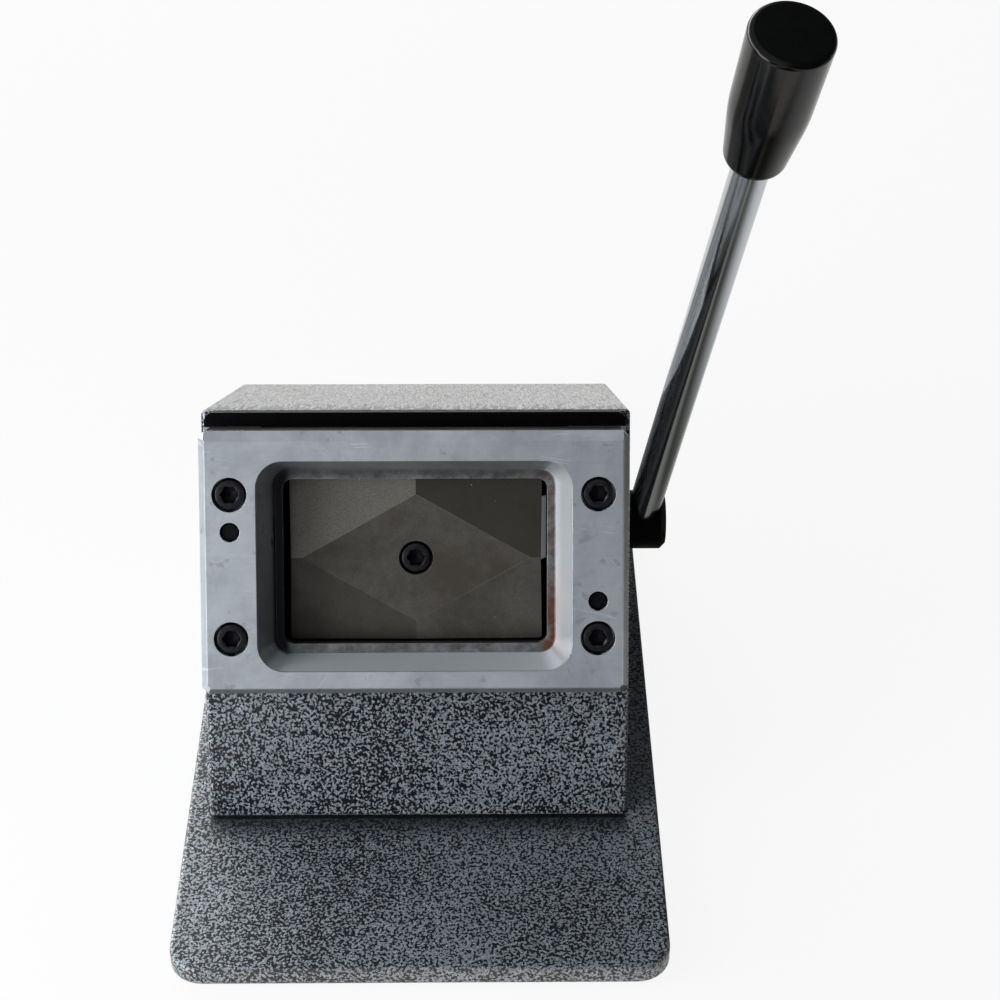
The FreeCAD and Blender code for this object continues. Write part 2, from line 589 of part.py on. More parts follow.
def make_slot_parts():
    """Spacers either side of the sheet's slot, and the stop that the sheet lands on."""
    for label, sign in SIDES:
        body = new_body(f"slot_spacer_{label}", die_placement())
        outline = new_sketch(body, "outline", level=SLOT_Z)
        rectangle(outline, f"{sign} * Dim.slot_half", "-Dim.plate_down",
                  f"{sign} * Dim.plate_wide / 2", "Dim.plate_up")
        pad(body, outline, "Dim.slot_gap", backwards=True)
        holes = [spot for spot in PLATE_SCREWS + DOWELS if value(spot[0]) * sign > 0]
        drilled(body, "holes", holes, "Dim.thread_large + Dim.screw_fit", "Dim.slot_gap + 1",
                level=SLOT_Z)
        finish(body, f"slot_spacer_{label}")
    body = new_body("sheet_stop", die_placement())
    outline = new_sketch(body, "outline", level=SLOT_Z)
    rectangle(outline, "-Dim.slot_half", "-Dim.plate_down", "Dim.slot_half",
              "-Dim.plate_down + Dim.stop_tall")
    pad(body, outline, "Dim.slot_gap", backwards=True)
    finish(body, "sheet_stop")


def make_guide_plate():
    """Dark plate behind the slot that guides the punch and strips the sheet off it."""
    body = new_body("guide_plate", die_placement())
    outline = new_sketch(body, "outline", level=GUIDE_Z)
    rectangle(outline, "-Dim.plate_wide / 2", "-Dim.plate_down", "Dim.plate_wide / 2", "Dim.head_up")
    slab = pad(body, outline, "Dim.guide_thick", backwards=True)
    top = value("Dim.head_up")
    round_edges(body, "Fillet", slab, "Dim.guide_round",
                lambda edge: along(Vector(0, 0, 1))(edge) and at_level(top, "y")(edge))
    opening = new_sketch(body, "punch_way", level=GUIDE_Z)
    rounded_rectangle(opening, f"-{GUIDE_X}", f"-{GUIDE_Y}", GUIDE_X, GUIDE_Y, "Dim.card_round")
    pocket(body, opening, "Dim.guide_thick + 1")
    drilled(body, "holes", PLATE_SCREWS + DOWELS, "Dim.thread_large + Dim.screw_fit",
            "Dim.guide_thick + 1", level=GUIDE_Z)
    return finish(body, "guide_plate")


def make_die_fasteners():
    """Cap screws through the die stack into the head, and the dowel pins that locate it."""
    master = cap_screw("plate_screw", "Dim.thread_large", "Dim.plate_screw_long")
    group("die_plate_screws", master, in_die(PLATE_SCREWS, "-Dim.bore_deep"))
    pin = new_body("dowel")
    section = new_sketch(pin, "section")
    circles(section, [("0", "0")], "Dim.dowel_reach")
    rod = pad(pin, section, "Dim.dowel_long", backwards=True)
    round_edges(pin, "Chamfer", rod, "Dim.rod_edge / 2", is_circle)
    group("dowel_pins", pin, in_die(DOWELS, "-Dim.dowel_front"))


# ------------------------------------------------------------------ punch and slide
def make_punch():
    """Card-shaped punch, its face ground to a low diamond with four facets and relieved ends."""
    body = new_body("punch", die_placement())
    front = "(-Dim.punch_back)"
    outline = new_sketch(body, "outline", level=front)
    rounded_rectangle(outline, f"-{PUNCH_X}", f"-{PUNCH_Y}", PUNCH_X, PUNCH_Y,
                      "Dim.card_round - Dim.punch_fit")
    pad(body, outline, "Dim.punch_long", backwards=True)
    for label, sign in SIDES:
        relief = new_sketch(body, f"relief_{label}", "XZ_Plane")
        polygon(relief, [(f"{sign} * ({PUNCH_X} - Dim.punch_bevel_wide)", front),
                         (f"{sign} * ({PUNCH_X} + 1)", f"{front} + 1"),
                         (f"{sign} * ({PUNCH_X} + 1)", f"{front} - Dim.punch_bevel_deep - 0.5"),
                         (f"{sign} * {PUNCH_X}", f"{front} - Dim.punch_bevel_deep")])
        pocket(body, relief, "Dim.card_tall + 2", symmetric=True)
    grind_facets(body)
    headed_holes(body, "screw_bore", [("0", "0")], "Dim.thread_large + Dim.screw_fit", "Dim.bore_reach",
                 level=front, depth="Dim.bore_deep")
    return finish(body, "punch")


def grind_facets(body):
    """Slope the punch face away to its four corners from a diamond in its middle."""
    half_x = value("Dim.facet_x")
    half_y = value("Dim.facet_y")
    steepness = math.hypot(1 / half_x, 1 / half_y)
    corner = value(PUNCH_X) / half_x + value(PUNCH_Y) / half_y - 1
    slope = value("Dim.facet_drop") * steepness / corner
    for label_x, sign_x in SIDES:
        for label_y, sign_y in (("low", -1), ("high", 1)):
            outward = Vector(sign_x / half_x, sign_y / half_y, 0) / steepness
            normal = outward * slope + Vector(0, 0, 1)
            middle = Vector(sign_x * half_x / 2, sign_y * half_y / 2, -value("Dim.punch_back"))
            facet = new_sketch(body, f"facet_{label_x}_{label_y}",
                               frame=Placement(middle, Rotation(Vector(0, 0, 1), normal)))
            reach = "Dim.card_wide"
            rectangle(facet, f"-{reach}", f"-{reach}", reach, reach)
            pocket(body, facet, "Dim.punch_bevel_deep * 4", backwards=True)


def make_slide():
    """Slide that carries the punch: tongued head, neck, and the yoke round the cam."""
    body = new_body("ram_slide", die_placement())
    head = new_sketch(body, "head", level=SLIDE_Z)
    rectangle(head, f"-{PUNCH_X}", "-Dim.slide_half", PUNCH_X, "Dim.slide_half")
    pad(body, head, "Dim.slide_thick", backwards=True)
    tongues = new_sketch(body, "tongues", level=SLIDE_Z)
    reach = f"({PUNCH_X} + Dim.tongue_out)"
    rectangle(tongues, f"-{reach}", "-Dim.tongue_half", reach, "Dim.tongue_half")
    pad(body, tongues, "Dim.slide_thick", backwards=True)
    middle_y = "(-Dim.shaft_drop + Dim.cam_throw * (1 + cos(Dim.cam_start)) / 2)"
    middle_z = "(-Dim.shaft_depth + Dim.cam_throw * sin(Dim.cam_start))"
    half_z = "(Dim.cam_reach + Dim.yoke_fit)"
    half_y = f"({half_z} + Dim.cam_throw * (1 - cos(Dim.cam_start)) / 2 + Dim.yoke_fit)"
    neck = new_sketch(body, "neck", "YZ_Plane")
    root_z = f"({SLIDE_Z} - Dim.slide_thick)"
    end_z = f"({middle_z} + {half_z} + Dim.yoke_wall / 2)"
    polygon(neck, [("-Dim.neck_root", root_z), (f"{middle_y} - Dim.neck_end", end_z),
                   (f"{middle_y} + Dim.neck_end", end_z), ("Dim.neck_root", root_z)])
    pad(body, neck, "2 * Dim.neck_half", symmetric=True)
    for name, grow, radius in (("yoke", "Dim.yoke_wall", "Dim.yoke_round + Dim.yoke_wall"),
                               ("cam_window", "0", "Dim.yoke_round")):
        ring = new_sketch(body, name, "YZ_Plane")
        rounded_rectangle(ring, f"{middle_y} - {half_y} - {grow}", f"{middle_z} - {half_z} - {grow}",
                          f"{middle_y} + {half_y} + {grow}", f"{middle_z} + {half_z} + {grow}", radius)
        if name == "yoke":
            pad(body, ring, "Dim.yoke_thick", symmetric=True)
        else:
            pocket(body, ring, "2 * Dim.neck_half + 2", symmetric=True)
    drilled(body, "punch_thread", [("0", "0")], "Dim.thread_large + Dim.thread_fit",
            "Dim.slide_thick - 2", level=SLIDE_Z)
    return finish(body, "ram_slide")


def make_punch_screw():
    """Cap screw through the punch into the slide."""
    body = cap_screw("punch_screw", "Dim.thread_large", "Dim.punch_screw_long")
    body.Placement = in_die([("0", "0")], "-Dim.punch_back - Dim.bore_deep")[0]
    return finish(body, "punch_screw")


def make_rails():
    """Grooved rails behind the head's front wall that carry the slide's tongues."""
    for label, sign in SIDES:
        body = new_body(f"ram_rail_{label}", die_placement())
        section = new_sketch(body, "section", level=WALL_Z)
        inner = f"{sign} * {GUIDE_X}"
        groove = f"{sign} * ({GUIDE_X} + Dim.tongue_out)"
        outer = f"{sign} * Dim.rail_out"
        lip = "(Dim.tongue_half + Dim.guide_fit)"
        polygon(section, [(inner, "-Dim.rail_half"), (outer, "-Dim.rail_half"), (outer, "Dim.rail_half"),
                          (inner, "Dim.rail_half"), (inner, lip), (groove, lip), (groove, f"-{lip}"),
                          (inner, f"-{lip}")])
        pad(body, section, f"Dim.rail_back + {WALL_Z}", backwards=True)
        holes = [spot for spot in RAIL_SCREWS if value(spot[0]) * sign > 0]
        drilled(body, "holes", holes, "Dim.thread_mid + Dim.screw_fit", "Dim.rail_back", level=WALL_Z)
        finish(body, f"ram_rail_{label}")
    master = cap_screw("rail_screw", "Dim.thread_mid", "Dim.rail_screw_long")
    group("ram_rail_screws", master, in_die(RAIL_SCREWS, "-Dim.rail_back", 180))


# ------------------------------------------------------------------- shaft and lever
def make_bushes():
    """Flanged bushes, pressed into the head's bosses from inside."""
    for label, sign in SIDES:
        body = new_body(f"shaft_bush_{label}", shaft_placement())
        outline = new_sketch(body, "outline")
        bore = "Dim.shaft_reach + Dim.journal_fit"
        inner = f"{sign} * ({BOSS_X} - Dim.flange_thick)"
        face = f"{sign} * {BOSS_X}"
        outer = f"{sign} * ({BOSS_X} + Dim.bush_long - Dim.thread_fit)"
        polygon(outline, [(inner, bore), (inner, "Dim.flange_reach"), (face, "Dim.flange_reach"),
                          (face, "Dim.bush_reach"), (outer, "Dim.bush_reach"), (outer, bore)])
        revolve(body, outline, "H_Axis")
        finish(body, f"shaft_bush_{label}")


def make_shaft():
    """Plain shaft with bevelled ends and a keyway under the cam."""
    body = new_body("cam_shaft", shaft_placement(CAM_TURN))
    section = new_sketch(body, "section", "YZ_Plane", "Dim.shaft_left")
    circles(section, [("0", "0")], "Dim.shaft_reach")
    rod = pad(body, section, f"{HUB_X} + Dim.hub_long - Dim.hub_gap / 2 - Dim.shaft_left")
    round_edges(body, "Chamfer", rod, "Dim.shaft_edge", is_circle)
    keyway = new_sketch(body, "keyway", "YZ_Plane", "-Dim.key_long / 2")
    rectangle(keyway, "Dim.shaft_reach - Dim.key_side / 2", "-Dim.key_side / 2", "Dim.shaft_reach + 1",
              "Dim.key_side / 2")
    pocket(body, keyway, "Dim.key_long", backwards=True)
    return finish(body, "cam_shaft")


def make_cam():
    """Round cam bored off its middle and keyed to the shaft."""
    body = new_body("eccentric_cam", shaft_placement(CAM_TURN))
    disc = new_sketch(body, "disc", "YZ_Plane")
    circles(disc, [("Dim.cam_throw", "0")], "Dim.cam_reach")
    wheel = pad(body, disc, "Dim.cam_thick", symmetric=True)
    round_edges(body, "Chamfer", wheel, "Dim.cam_edge", is_circle)
    bore = new_sketch(body, "bore", "YZ_Plane")
    circles(bore, [("0", "0")], "Dim.shaft_reach + Dim.journal_fit")
    pocket(body, bore, "Dim.cam_thick + 2", symmetric=True)
    keyway = new_sketch(body, "keyway", "YZ_Plane")
    rectangle(keyway, "0", "-Dim.key_side / 2 - Dim.journal_fit",
              "Dim.shaft_reach + Dim.key_side / 2 + Dim.journal_fit", "Dim.key_side / 2 + Dim.journal_fit")
    pocket(body, keyway, "Dim.cam_thick + 2", symmetric=True)
    return finish(body, "eccentric_cam")


def make_key():
    """Square key between the cam and the shaft."""
    key = DOC.addObject("Part::Box", "cam_key")
    key.setExpression("Length", "Dim.key_long")
    key.setExpression("Width", "Dim.key_side")
    key.setExpression("Height", "Dim.key_side")
    corner = point("-Dim.key_long / 2", "Dim.shaft_reach - Dim.key_side / 2", "-Dim.key_side / 2")
    key.Placement = shaft_placement(CAM_TURN).multiply(Placement(corner, Rotation()))
    return finish(key, "cam_key")


def radial_hole(body, along_x, surface, from_below=False):
    """Thread a hole from a round surface in to the bore, square to the axis."""
    side = -1 if from_below else 1
    drilled(body, "grub_thread", [(along_x, "0")], "Dim.thread_small + Dim.thread_fit", surface,
            level=f"{side} * ({surface} + 1)", backwards=from_below)


def make_collar():
    """Collar inside the right bush that keeps the shaft from sliding out."""
    body = new_body("shaft_collar", shaft_placement())
    right = f"({BOSS_X} - Dim.flange_thick - Dim.collar_gap)"
    section = new_sketch(body, "section", "YZ_Plane", right)
    circles(section, [("0", "0")], "Dim.collar_reach")
    circles(section, [("0", "0")], "Dim.shaft_reach + Dim.journal_fit")
    ring = pad(body, section, "Dim.collar_thick", backwards=True)
    round_edges(body, "Chamfer", ring, "Dim.cam_edge", rim_of(value("Dim.collar_reach")))
    middle = f"{right} - Dim.collar_thick / 2"
    radial_hole(body, middle, "Dim.collar_reach")
    finish(body, "shaft_collar")
    top = "Dim.shaft_reach + Dim.grub_long + Dim.thread_fit"
    grub_screw("collar_screw", shaft_placement().multiply(Placement(point(middle, 0, top), Rotation())),
               "Dim.thread_small")


def make_hub():
    """Lever hub outside the head, with a slanting socket for the rod and a grub screw below."""
    body = new_body("lever_hub", shaft_placement())
    section = new_sketch(body, "section", "YZ_Plane", HUB_X)
    circles(section, [("0", "0")], "Dim.hub_reach")
    circles(section, [("0", "0")], "Dim.shaft_reach + Dim.journal_fit")
    ring = pad(body, section, "Dim.hub_long")
    outer = value("Dim.hub_reach")
    round_edges(body, "Chamfer", ring, "Dim.hub_edge", rim_of(outer))
    over = "2 * Dim.hub_reach"
    socket_frame = body.Placement.inverse().multiply(lever_placement())
    socket_frame = socket_frame.multiply(Placement(point(0, 0, over), Rotation()))
    drilled(body, "rod_socket", [("0", "0")], "Dim.rod_reach + Dim.journal_fit",
            f"{over} - Dim.rod_start + 1.5", frame=socket_frame)
    screw_x = f"({HUB_X} + Dim.hub_screw_in)"
    radial_hole(body, screw_x, "Dim.hub_reach", from_below=True)
    finish(body, "lever_hub")
    under = "-Dim.shaft_reach - Dim.grub_long - Dim.thread_fit"
    upside_down = Placement(point(screw_x, 0, under), Rotation(Vector(1, 0, 0), 180))
    grub_screw("hub_screw", shaft_placement().multiply(upside_down), "Dim.thread_small")


def make_rod():
    """Straight lever rod, reduced to a stud inside the knob."""
    body = new_body("lever_rod", lever_placement())
    outline = new_sketch(body, "outline", "XZ_Plane")
    top = "Dim.rod_end"
    polygon(outline, [("0", "Dim.rod_start"), ("Dim.rod_reach - Dim.rod_edge", "Dim.rod_start"),
                      ("Dim.rod_reach", "Dim.rod_start + Dim.rod_edge"), ("Dim.rod_reach", top),
                      ("Dim.stud_reach", top), ("Dim.stud_reach", f"{top} + Dim.stud_long - Dim.rod_edge"),
                      ("Dim.stud_reach - Dim.rod_edge", f"{top} + Dim.stud_long"),
                      ("0", f"{top} + Dim.stud_long")])
    revolve(body, outline)
    return finish(body, "lever_rod")


def make_knob():
    """Grip that tapers towards the rod, with a soft waist and both rims rounded."""
    body = new_body("lever_knob", lever_placement())
    outline = new_sketch(body, "outline", "XZ_Plane")
    base = "Dim.rod_end"
    bore = "Dim.stud_reach + Dim.journal_fit"
    bottom = f"{base} + Dim.stud_long + 1"
    polygon(outline, [(bore, base), ("Dim.knob_low", base), ("Dim.knob_mid", f"{base} + Dim.knob_waist"),
                      ("Dim.knob_high", f"{base} + Dim.knob_long"), ("0", f"{base} + Dim.knob_long"),
                      ("0", bottom), (bore, bottom)])
    grip = revolve(body, outline)
    for ring in ("low", "mid", "high"):
        grip = round_edges(body, "Fillet", grip, f"Dim.knob_{ring}_round", rim_of(value(f"Dim.knob_{ring}")))
    return finish(body, "lever_knob")


def check_document():
    """Raise if any object failed or any sub-part's shape isn't sound."""
    DOC.recompute()
    for item in DOC.Objects:
        if {"Invalid", "Error"} & set(item.State):
            raise RuntimeError(f"{item.Name} is {item.State}")
    for item in NODES:
        if item.Shape.isNull() or not item.Shape.isValid():
            raise RuntimeError(f"{item.Label} has no sound shape")


def main():
    """Build every sub-part and write each to its own file."""
    for make in (make_base_plate, make_feet, make_base_screws, make_head, make_rear_cover, make_die_plate,
                 make_slot_parts, make_guide_plate, make_die_fasteners, make_rails, make_bushes, make_punch,
                 make_punch_screw, make_slide, make_shaft, make_cam, make_key, make_collar, make_hub,
                 make_rod, make_knob):
        make()
    check_document()
    for item in NODES:
        item.Shape.exportStep(f"parts/{item.Label}.step")


main()
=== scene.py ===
"""Dressing of a desk die cutter for identity cards: finishes, screws, studio light and camera.

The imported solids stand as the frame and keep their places.  Lengths are metres, +Z is up and the die
window faces -Y.  Each sub-assembly is a class that dresses its own solids and builds its own pieces.
"""
import logging
import math
from dataclasses import dataclass
from enum import Enum
from functools import reduce
from typing import ClassVar, Iterator, Optional, Sequence

import bmesh
import bpy
from mathutils import Matrix, Vector


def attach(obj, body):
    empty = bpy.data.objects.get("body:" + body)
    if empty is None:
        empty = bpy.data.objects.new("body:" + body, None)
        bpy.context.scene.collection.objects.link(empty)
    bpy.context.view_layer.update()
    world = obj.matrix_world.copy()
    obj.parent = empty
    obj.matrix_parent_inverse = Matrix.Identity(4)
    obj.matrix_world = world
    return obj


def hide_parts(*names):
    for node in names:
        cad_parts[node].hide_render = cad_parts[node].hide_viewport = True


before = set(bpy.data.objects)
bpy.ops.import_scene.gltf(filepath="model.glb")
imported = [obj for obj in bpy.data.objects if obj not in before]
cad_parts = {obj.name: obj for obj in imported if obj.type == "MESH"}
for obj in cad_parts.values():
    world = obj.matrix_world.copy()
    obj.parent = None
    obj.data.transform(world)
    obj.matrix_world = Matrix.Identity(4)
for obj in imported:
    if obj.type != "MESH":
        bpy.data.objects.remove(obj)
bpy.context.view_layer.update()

LOG = logging.getLogger("card_cutter")
MM = 0.001
LEFT = Vector((-1.0, 0.0, 0.0))
AHEAD = Vector((0.0, -1.0, 0.0))
SHARP_EDGE = math.radians(32.0)

Colour = tuple[float, float, float]
Span = tuple[float, float]
Spots = tuple[tuple[float, float], ...]
Socket = bpy.types.NodeSocket


class Body(Enum):
    """Bodies of the machine that pieces ride on."""

    FRAME = "frame"
    RAM = "ram"
    LEVER = "lever"


class HeadStyle(Enum):
    """Shapes of a socket screw's head."""

    CAP = "cap"
    BUTTON = "button"
    FLAT = "flat"


class Ring(Enum):
    """Shapes in plan of the rings that a screw is built from."""

    ROUND = "round"
    HEXAGON = "hexagon"
    KNURL = "knurl"


class Way(Enum):
    """Directions in which a tool or a stone leaves its marks."""

    ACROSS = (0.0, 1.0, 1.0)
    UPRIGHT = (1.0, 1.0, 0.0)
    FORWARD = (1.0, 0.0, 1.0)


class DieFrame:
    """Frame of the leaning die: across the plate, up along it and out of it towards the user."""

    ORIGIN: ClassVar[Vector] = Vector((0.0, -0.0454, 0.1072))
    ACROSS: ClassVar[Vector] = Vector((1.0, 0.0, 0.0))
    UP: ClassVar[Vector] = Vector((0.0, 0.5, 0.8660254))
    OUT: ClassVar[Vector] = Vector((0.0, -0.8660254, 0.5))

    @classmethod
    def place(cls, across: float, up: float, out: float) -> Matrix:
        """Matrix that stands a piece at a point of the die frame, its axis pointing out.

        Args:
            across: Millimetres across the plate.
            up: Millimetres up along the plate.
            out: Millimetres out of the plate.

        Returns:
            The placement.
        """
        turn = Matrix((cls.ACROSS, cls.UP, cls.OUT)).transposed().to_4x4()
        spot = cls.ORIGIN + MM * (across * cls.ACROSS + up * cls.UP + out * cls.OUT)
        return Matrix.Translation(spot) @ turn


# ------------------------------------------------------------------------------- node graphs
class Nodes:
    """Short calls for building a node tree."""

    def __init__(self, tree: bpy.types.NodeTree) -> None:
        """Start from an empty tree."""
        self.tree = tree
        self.tree.nodes.clear()

    def add(self, kind: str, **settings: object) -> bpy.types.Node:
        """Add a node and set its properties.

        Args:
            kind: Type name of the node.
            **settings: Values of the node's own properties.

        Returns:
            The new node.
        """
        node = self.tree.nodes.new(kind)
        for key, setting in settings.items():
            setattr(node, key, setting)
        return node

    def feed(self, socket: Socket, source: object) -> None:
        """Link a socket to another one, or set its value.

        Args:
            socket: Input to set.
            source: A socket, a number, a colour or a vector.
        """
        if isinstance(source, bpy.types.NodeSocket):
            self.tree.links.new(source, socket)
        elif socket.type == "RGBA":
            socket.default_value = (*source, 1.0)
        else:
            socket.default_value = source

    def run(self, kind: str, output: object, inputs: dict[object, object], **settings: object) -> Socket:
        """Add a node, feed its inputs and take one of its outputs.

        Args:
            kind: Type name of the node.
            output: Name or number of the output.
            inputs: Source of each input, by the input's name or number.
            **settings: Values of the node's own properties.

        Returns:
            The output.
        """
        node = self.add(kind, **settings)
        for key, source in inputs.items():
            self.feed(node.inputs[key], source)
        return node.outputs[output]

    def span(self, source: Socket, low: float, high: float, to_low: float = 0.0,
             to_high: float = 1.0) -> Socket:
        """Map the range from low to high smoothly to another range, clamped at its ends."""
        ends = {"From Min": low, "From Max": high, "To Min": to_low, "To Max": to_high}
        return self.run("ShaderNodeMapRange", "Result", {"Value": source, **ends},
                        interpolation_type="SMOOTHSTEP")

    def math(self, operation: str, first: object, second: object = 0.0) -> Socket:
        """Result of an operation on two sockets or numbers."""
        return self.run("ShaderNodeMath", "Value", {0: first, 1: second}, operation=operation)

    def product(self, *factors: object) -> Socket:
        """Product of several sockets or numbers."""
        return reduce(lambda total, factor: self.math("MULTIPLY", total, factor), factors)

    def blend(self, share: object, first: object, second: object) -> Socket:
        """Mix of two colours, given the share of the second."""
        return self.run("ShaderNodeMix", 2, {"Factor": share, 6: first, 7: second}, data_type="RGBA")

    def layered(self, base: object, *layers: tuple[object, object]) -> Socket:
        """Lay colours over each other.

        Args:
            base: Colour or socket at the bottom.
            *layers: How much of each colour shows, and the colour.

        Returns:
            The colour on top.
        """
        for share, tone in layers:
            base = self.blend(share, base, tone)
        return base

    def mixed(self, share: Socket, first: Socket, second: Socket) -> Socket:
        """Mix of two shaders, given the share of the second."""
        return self.run("ShaderNodeMixShader", 0, {0: share, 1: first, 2: second})

    def dot(self, vector: Socket, other: object) -> Socket:
        """Component of a vector along a unit vector."""
        return self.run("ShaderNodeVectorMath", "Value", {0: vector, 1: other}, operation="DOT_PRODUCT")


class Graph(Nodes):
    """Node tree of one material, with the patterns that the finishes share."""

    def __init__(self, name: str) -> None:
        """Start a material with one principled shader.

        Args:
            name: Name of the material.
        """
        self.material = bpy.data.materials.new(name)
        self.material.use_nodes = True
        super().__init__(self.material.node_tree)
        self.shader = self.add("ShaderNodeBsdfPrincipled")
        output = self.add("ShaderNodeOutputMaterial")
        self.feed(output.inputs["Surface"], self.shader.outputs["BSDF"])
        self.place = self.add("ShaderNodeTexCoord").outputs["Object"]
        self.normal = self.add("ShaderNodeNewGeometry").outputs["Normal"]

    def set(self, **values: object) -> None:
        """Set inputs of the shader by their names in lower case with underscores.

        Args:
            **values: Sockets, numbers or colours for the shader's inputs.
        """
        names = {socket.name.lower().replace(" ", "_"): socket for socket in self.shader.inputs}
        for key, source in values.items():
            self.feed(names[key], source)

    def stretched(self, scale: Sequence[float], turn: Sequence[float] = (0.0, 0.0, 0.0)) -> Socket:
        """Object coordinates, turned and then scaled along each axis.

        Args:
            scale: Factor for each axis.
            turn: Rotation about each axis in radians.

        Returns:
            The vector socket.
        """
        where = self.place
        for key, amounts in (("Rotation", turn), ("Scale", scale)):
            where = self.run("ShaderNodeMapping", "Vector", {"Vector": where, key: amounts},
                             vector_type="POINT")
        return where

    def noise(self, scale: float, detail: float = 2.0, roughness: float = 0.5, distortion: float = 0.0,
              where: Optional[Socket] = None) -> Socket:
        """Noise between 0 and 1.

        Args:
            scale: Features per metre.
            detail: Number of octaves.
            roughness: Share of the finer octaves.
            distortion: How far the pattern is warped.
            where: Coordinates, or none for the object's own.

        Returns:
            The factor socket.
        """
        return self.run("ShaderNodeTexNoise", "Fac", {
            "Vector": where or self.place, "Scale": scale, "Detail": detail, "Roughness": roughness,
            "Distortion": distortion})

    def cells(self, scale: float) -> Socket:
        """Distance to scattered points, so many per metre."""
        return self.run("ShaderNodeTexVoronoi", "Distance", {"Vector": self.place, "Scale": scale},
                        feature="F1")

    def past(self, direction: Vector, origin: Vector = DieFrame.ORIGIN) -> Socket:
        """How many metres along a direction a point lies past an origin."""
        return self.math("SUBTRACT", self.dot(self.place, direction), direction.dot(origin))

    def facing(self, direction: Vector) -> Socket:
        """How squarely a face looks along a direction, from -1 to 1."""
        return self.dot(self.normal, direction)

    def edges(self, radius: float) -> tuple[Socket, Socket]:
        """Rounded normal of sharp edges, and a value that rises from 0 to 1 at an edge."""
        rounded = self.run("ShaderNodeBevel", "Normal", {"Radius": radius}, samples=4)
        return rounded, self.span(self.dot(rounded, self.normal), 0.995, 0.86)

    def openness(self, reach: float) -> Socket:
        """How open a point lies to its surroundings, from 0 in a hole to 1 on a bare face."""
        return self.run("ShaderNodeAmbientOcclusion", "AO", {"Distance": reach}, samples=6)

    def relief(self, height: Socket, depth: float, strength: float = 1.0,
               normal: Optional[Socket] = None) -> Socket:
        """Bump from a height pattern.

        Args:
            height: Pattern between 0 and 1.
            depth: Depth of the pattern in metres.
            strength: Share of the bump that shows.
            normal: Normal to start from.

        Returns:
            The bumped normal.
        """
        inputs = {"Strength": strength, "Distance": depth, "Height": height}
        if normal is not None:
            inputs["Normal"] = normal
        return self.run("ShaderNodeBump", "Normal", inputs)


# ---------------------------------------------------------------------------------- finishes
def scaled(colour: Colour, factor: float) -> Colour:
    """Darker or lighter colour, with no part of it over 1."""
    return tuple(min(1.0, factor * part) for part in colour)


@dataclass(frozen=True)
class Finish:
    """Surface finish, made into one material the first time that it is asked for."""

    slot: str
    made: ClassVar[dict[str, bpy.types.Material]] = {}

    def material(self) -> bpy.types.Material:
        """Material of this finish, made once.

        Returns:
            The material.
        """
        name = f"{self.slot}_{type(self).__name__}"
        if name not in Finish.made:
            graph = Graph(name)
            self.paint(graph)
            Finish.made[name] = graph.material
        return Finish.made[name]

    def paint(self, graph: Graph) -> None:
        """Fill a graph with the finish's nodes."""
        raise NotImplementedError


@dataclass(frozen=True)
class Hammertone(Finish):
    """Enamel whose silver flakes draw together in beads and leave dark, sunken pools between them."""

    slot: str = "hammertone_paint"
    flake: Colour = (0.462, 0.501, 0.548)
    pool: Colour = (0.0025, 0.0025, 0.0045)
    # black for the paint's low spots, and for the painted shadow and shade on the base plate
    soil_and_shadow: Colour = (0.001, 0.001, 0.001)
    pools_per_metre: float = 1080.0
    pool_edge: Span = (0.455, 0.535)
    depth: float = 0.00016
    metallic: float = 0.45
    coat: float = 1.0
    coat_rough: float = 0.12
    smooth: float = 0.26
    rough: float = 0.42
    rounding: float = 0.0006

    def paint(self, graph: Graph) -> None:
        """Beads and pools in colour, gloss and relief, over slow drifts of the spray, with a painted
        highlight along the edges.

        Args:
            graph: Graph to fill.
        """
        drift = graph.span(graph.noise(16.0, 2.0), 0.3, 0.7, -0.028, 0.020)
        lifted = graph.math("ADD", graph.noise(self.pools_per_metre, 1.5, 0.5, 0.25), drift)
        beads = graph.span(lifted, *self.pool_edge)
        fine = graph.span(graph.noise(self.pools_per_metre * 2.3, 1.0), 0.36, 0.66)
        sparks = graph.span(graph.noise(self.pools_per_metre * 1.7, 1.0), 0.62, 0.72, 0.0, 0.8)
        flakes = graph.layered(
            scaled(self.flake, 0.42), (fine, self.flake), (sparks, scaled(self.flake, 1.6)))
        normal, edge = graph.edges(self.rounding)
        # thin darkening in the paint's low spots; on the base plate this is painted shadow and shade instead
        dirt_and_painted_shade = self.dirt_and_painted_shade(graph)
        coat = graph.product(graph.span(beads, 0.0, 1.0, 0.55 * self.coat, self.coat), self.gloss(graph),
                             graph.span(dirt_and_painted_shade, 0.0, 1.0, 1.0, 0.1))
        graph.set(base_color=graph.layered(self.pool, (beads, flakes),
                                           # painted highlight: edges coloured lighter
                                           (graph.product(edge, 0.3), scaled(self.flake, 1.4)),
                                           (dirt_and_painted_shade, self.soil_and_shadow)),
                  metallic=graph.product(beads, self.metallic), specular_ior_level=0.40,
                  roughness=graph.span(beads, 0.0, 1.0, self.smooth, self.rough),
                  coat_weight=coat, coat_roughness=self.coat_rough,
                  normal=graph.relief(lifted, self.depth, 0.8, normal),
                  coat_normal=graph.relief(lifted, self.depth, 0.12, normal))

    def gloss(self, graph: Graph) -> object:
        """Share of the clear gloss over the paint."""
        return 1.0

    def dirt_and_painted_shade(self, graph: Graph) -> Socket:
        """Thin dirt in the low spots of the paint."""
        return graph.span(graph.noise(30.0, 4.0, 0.6), 0.60, 0.80, 0.0, 0.25)


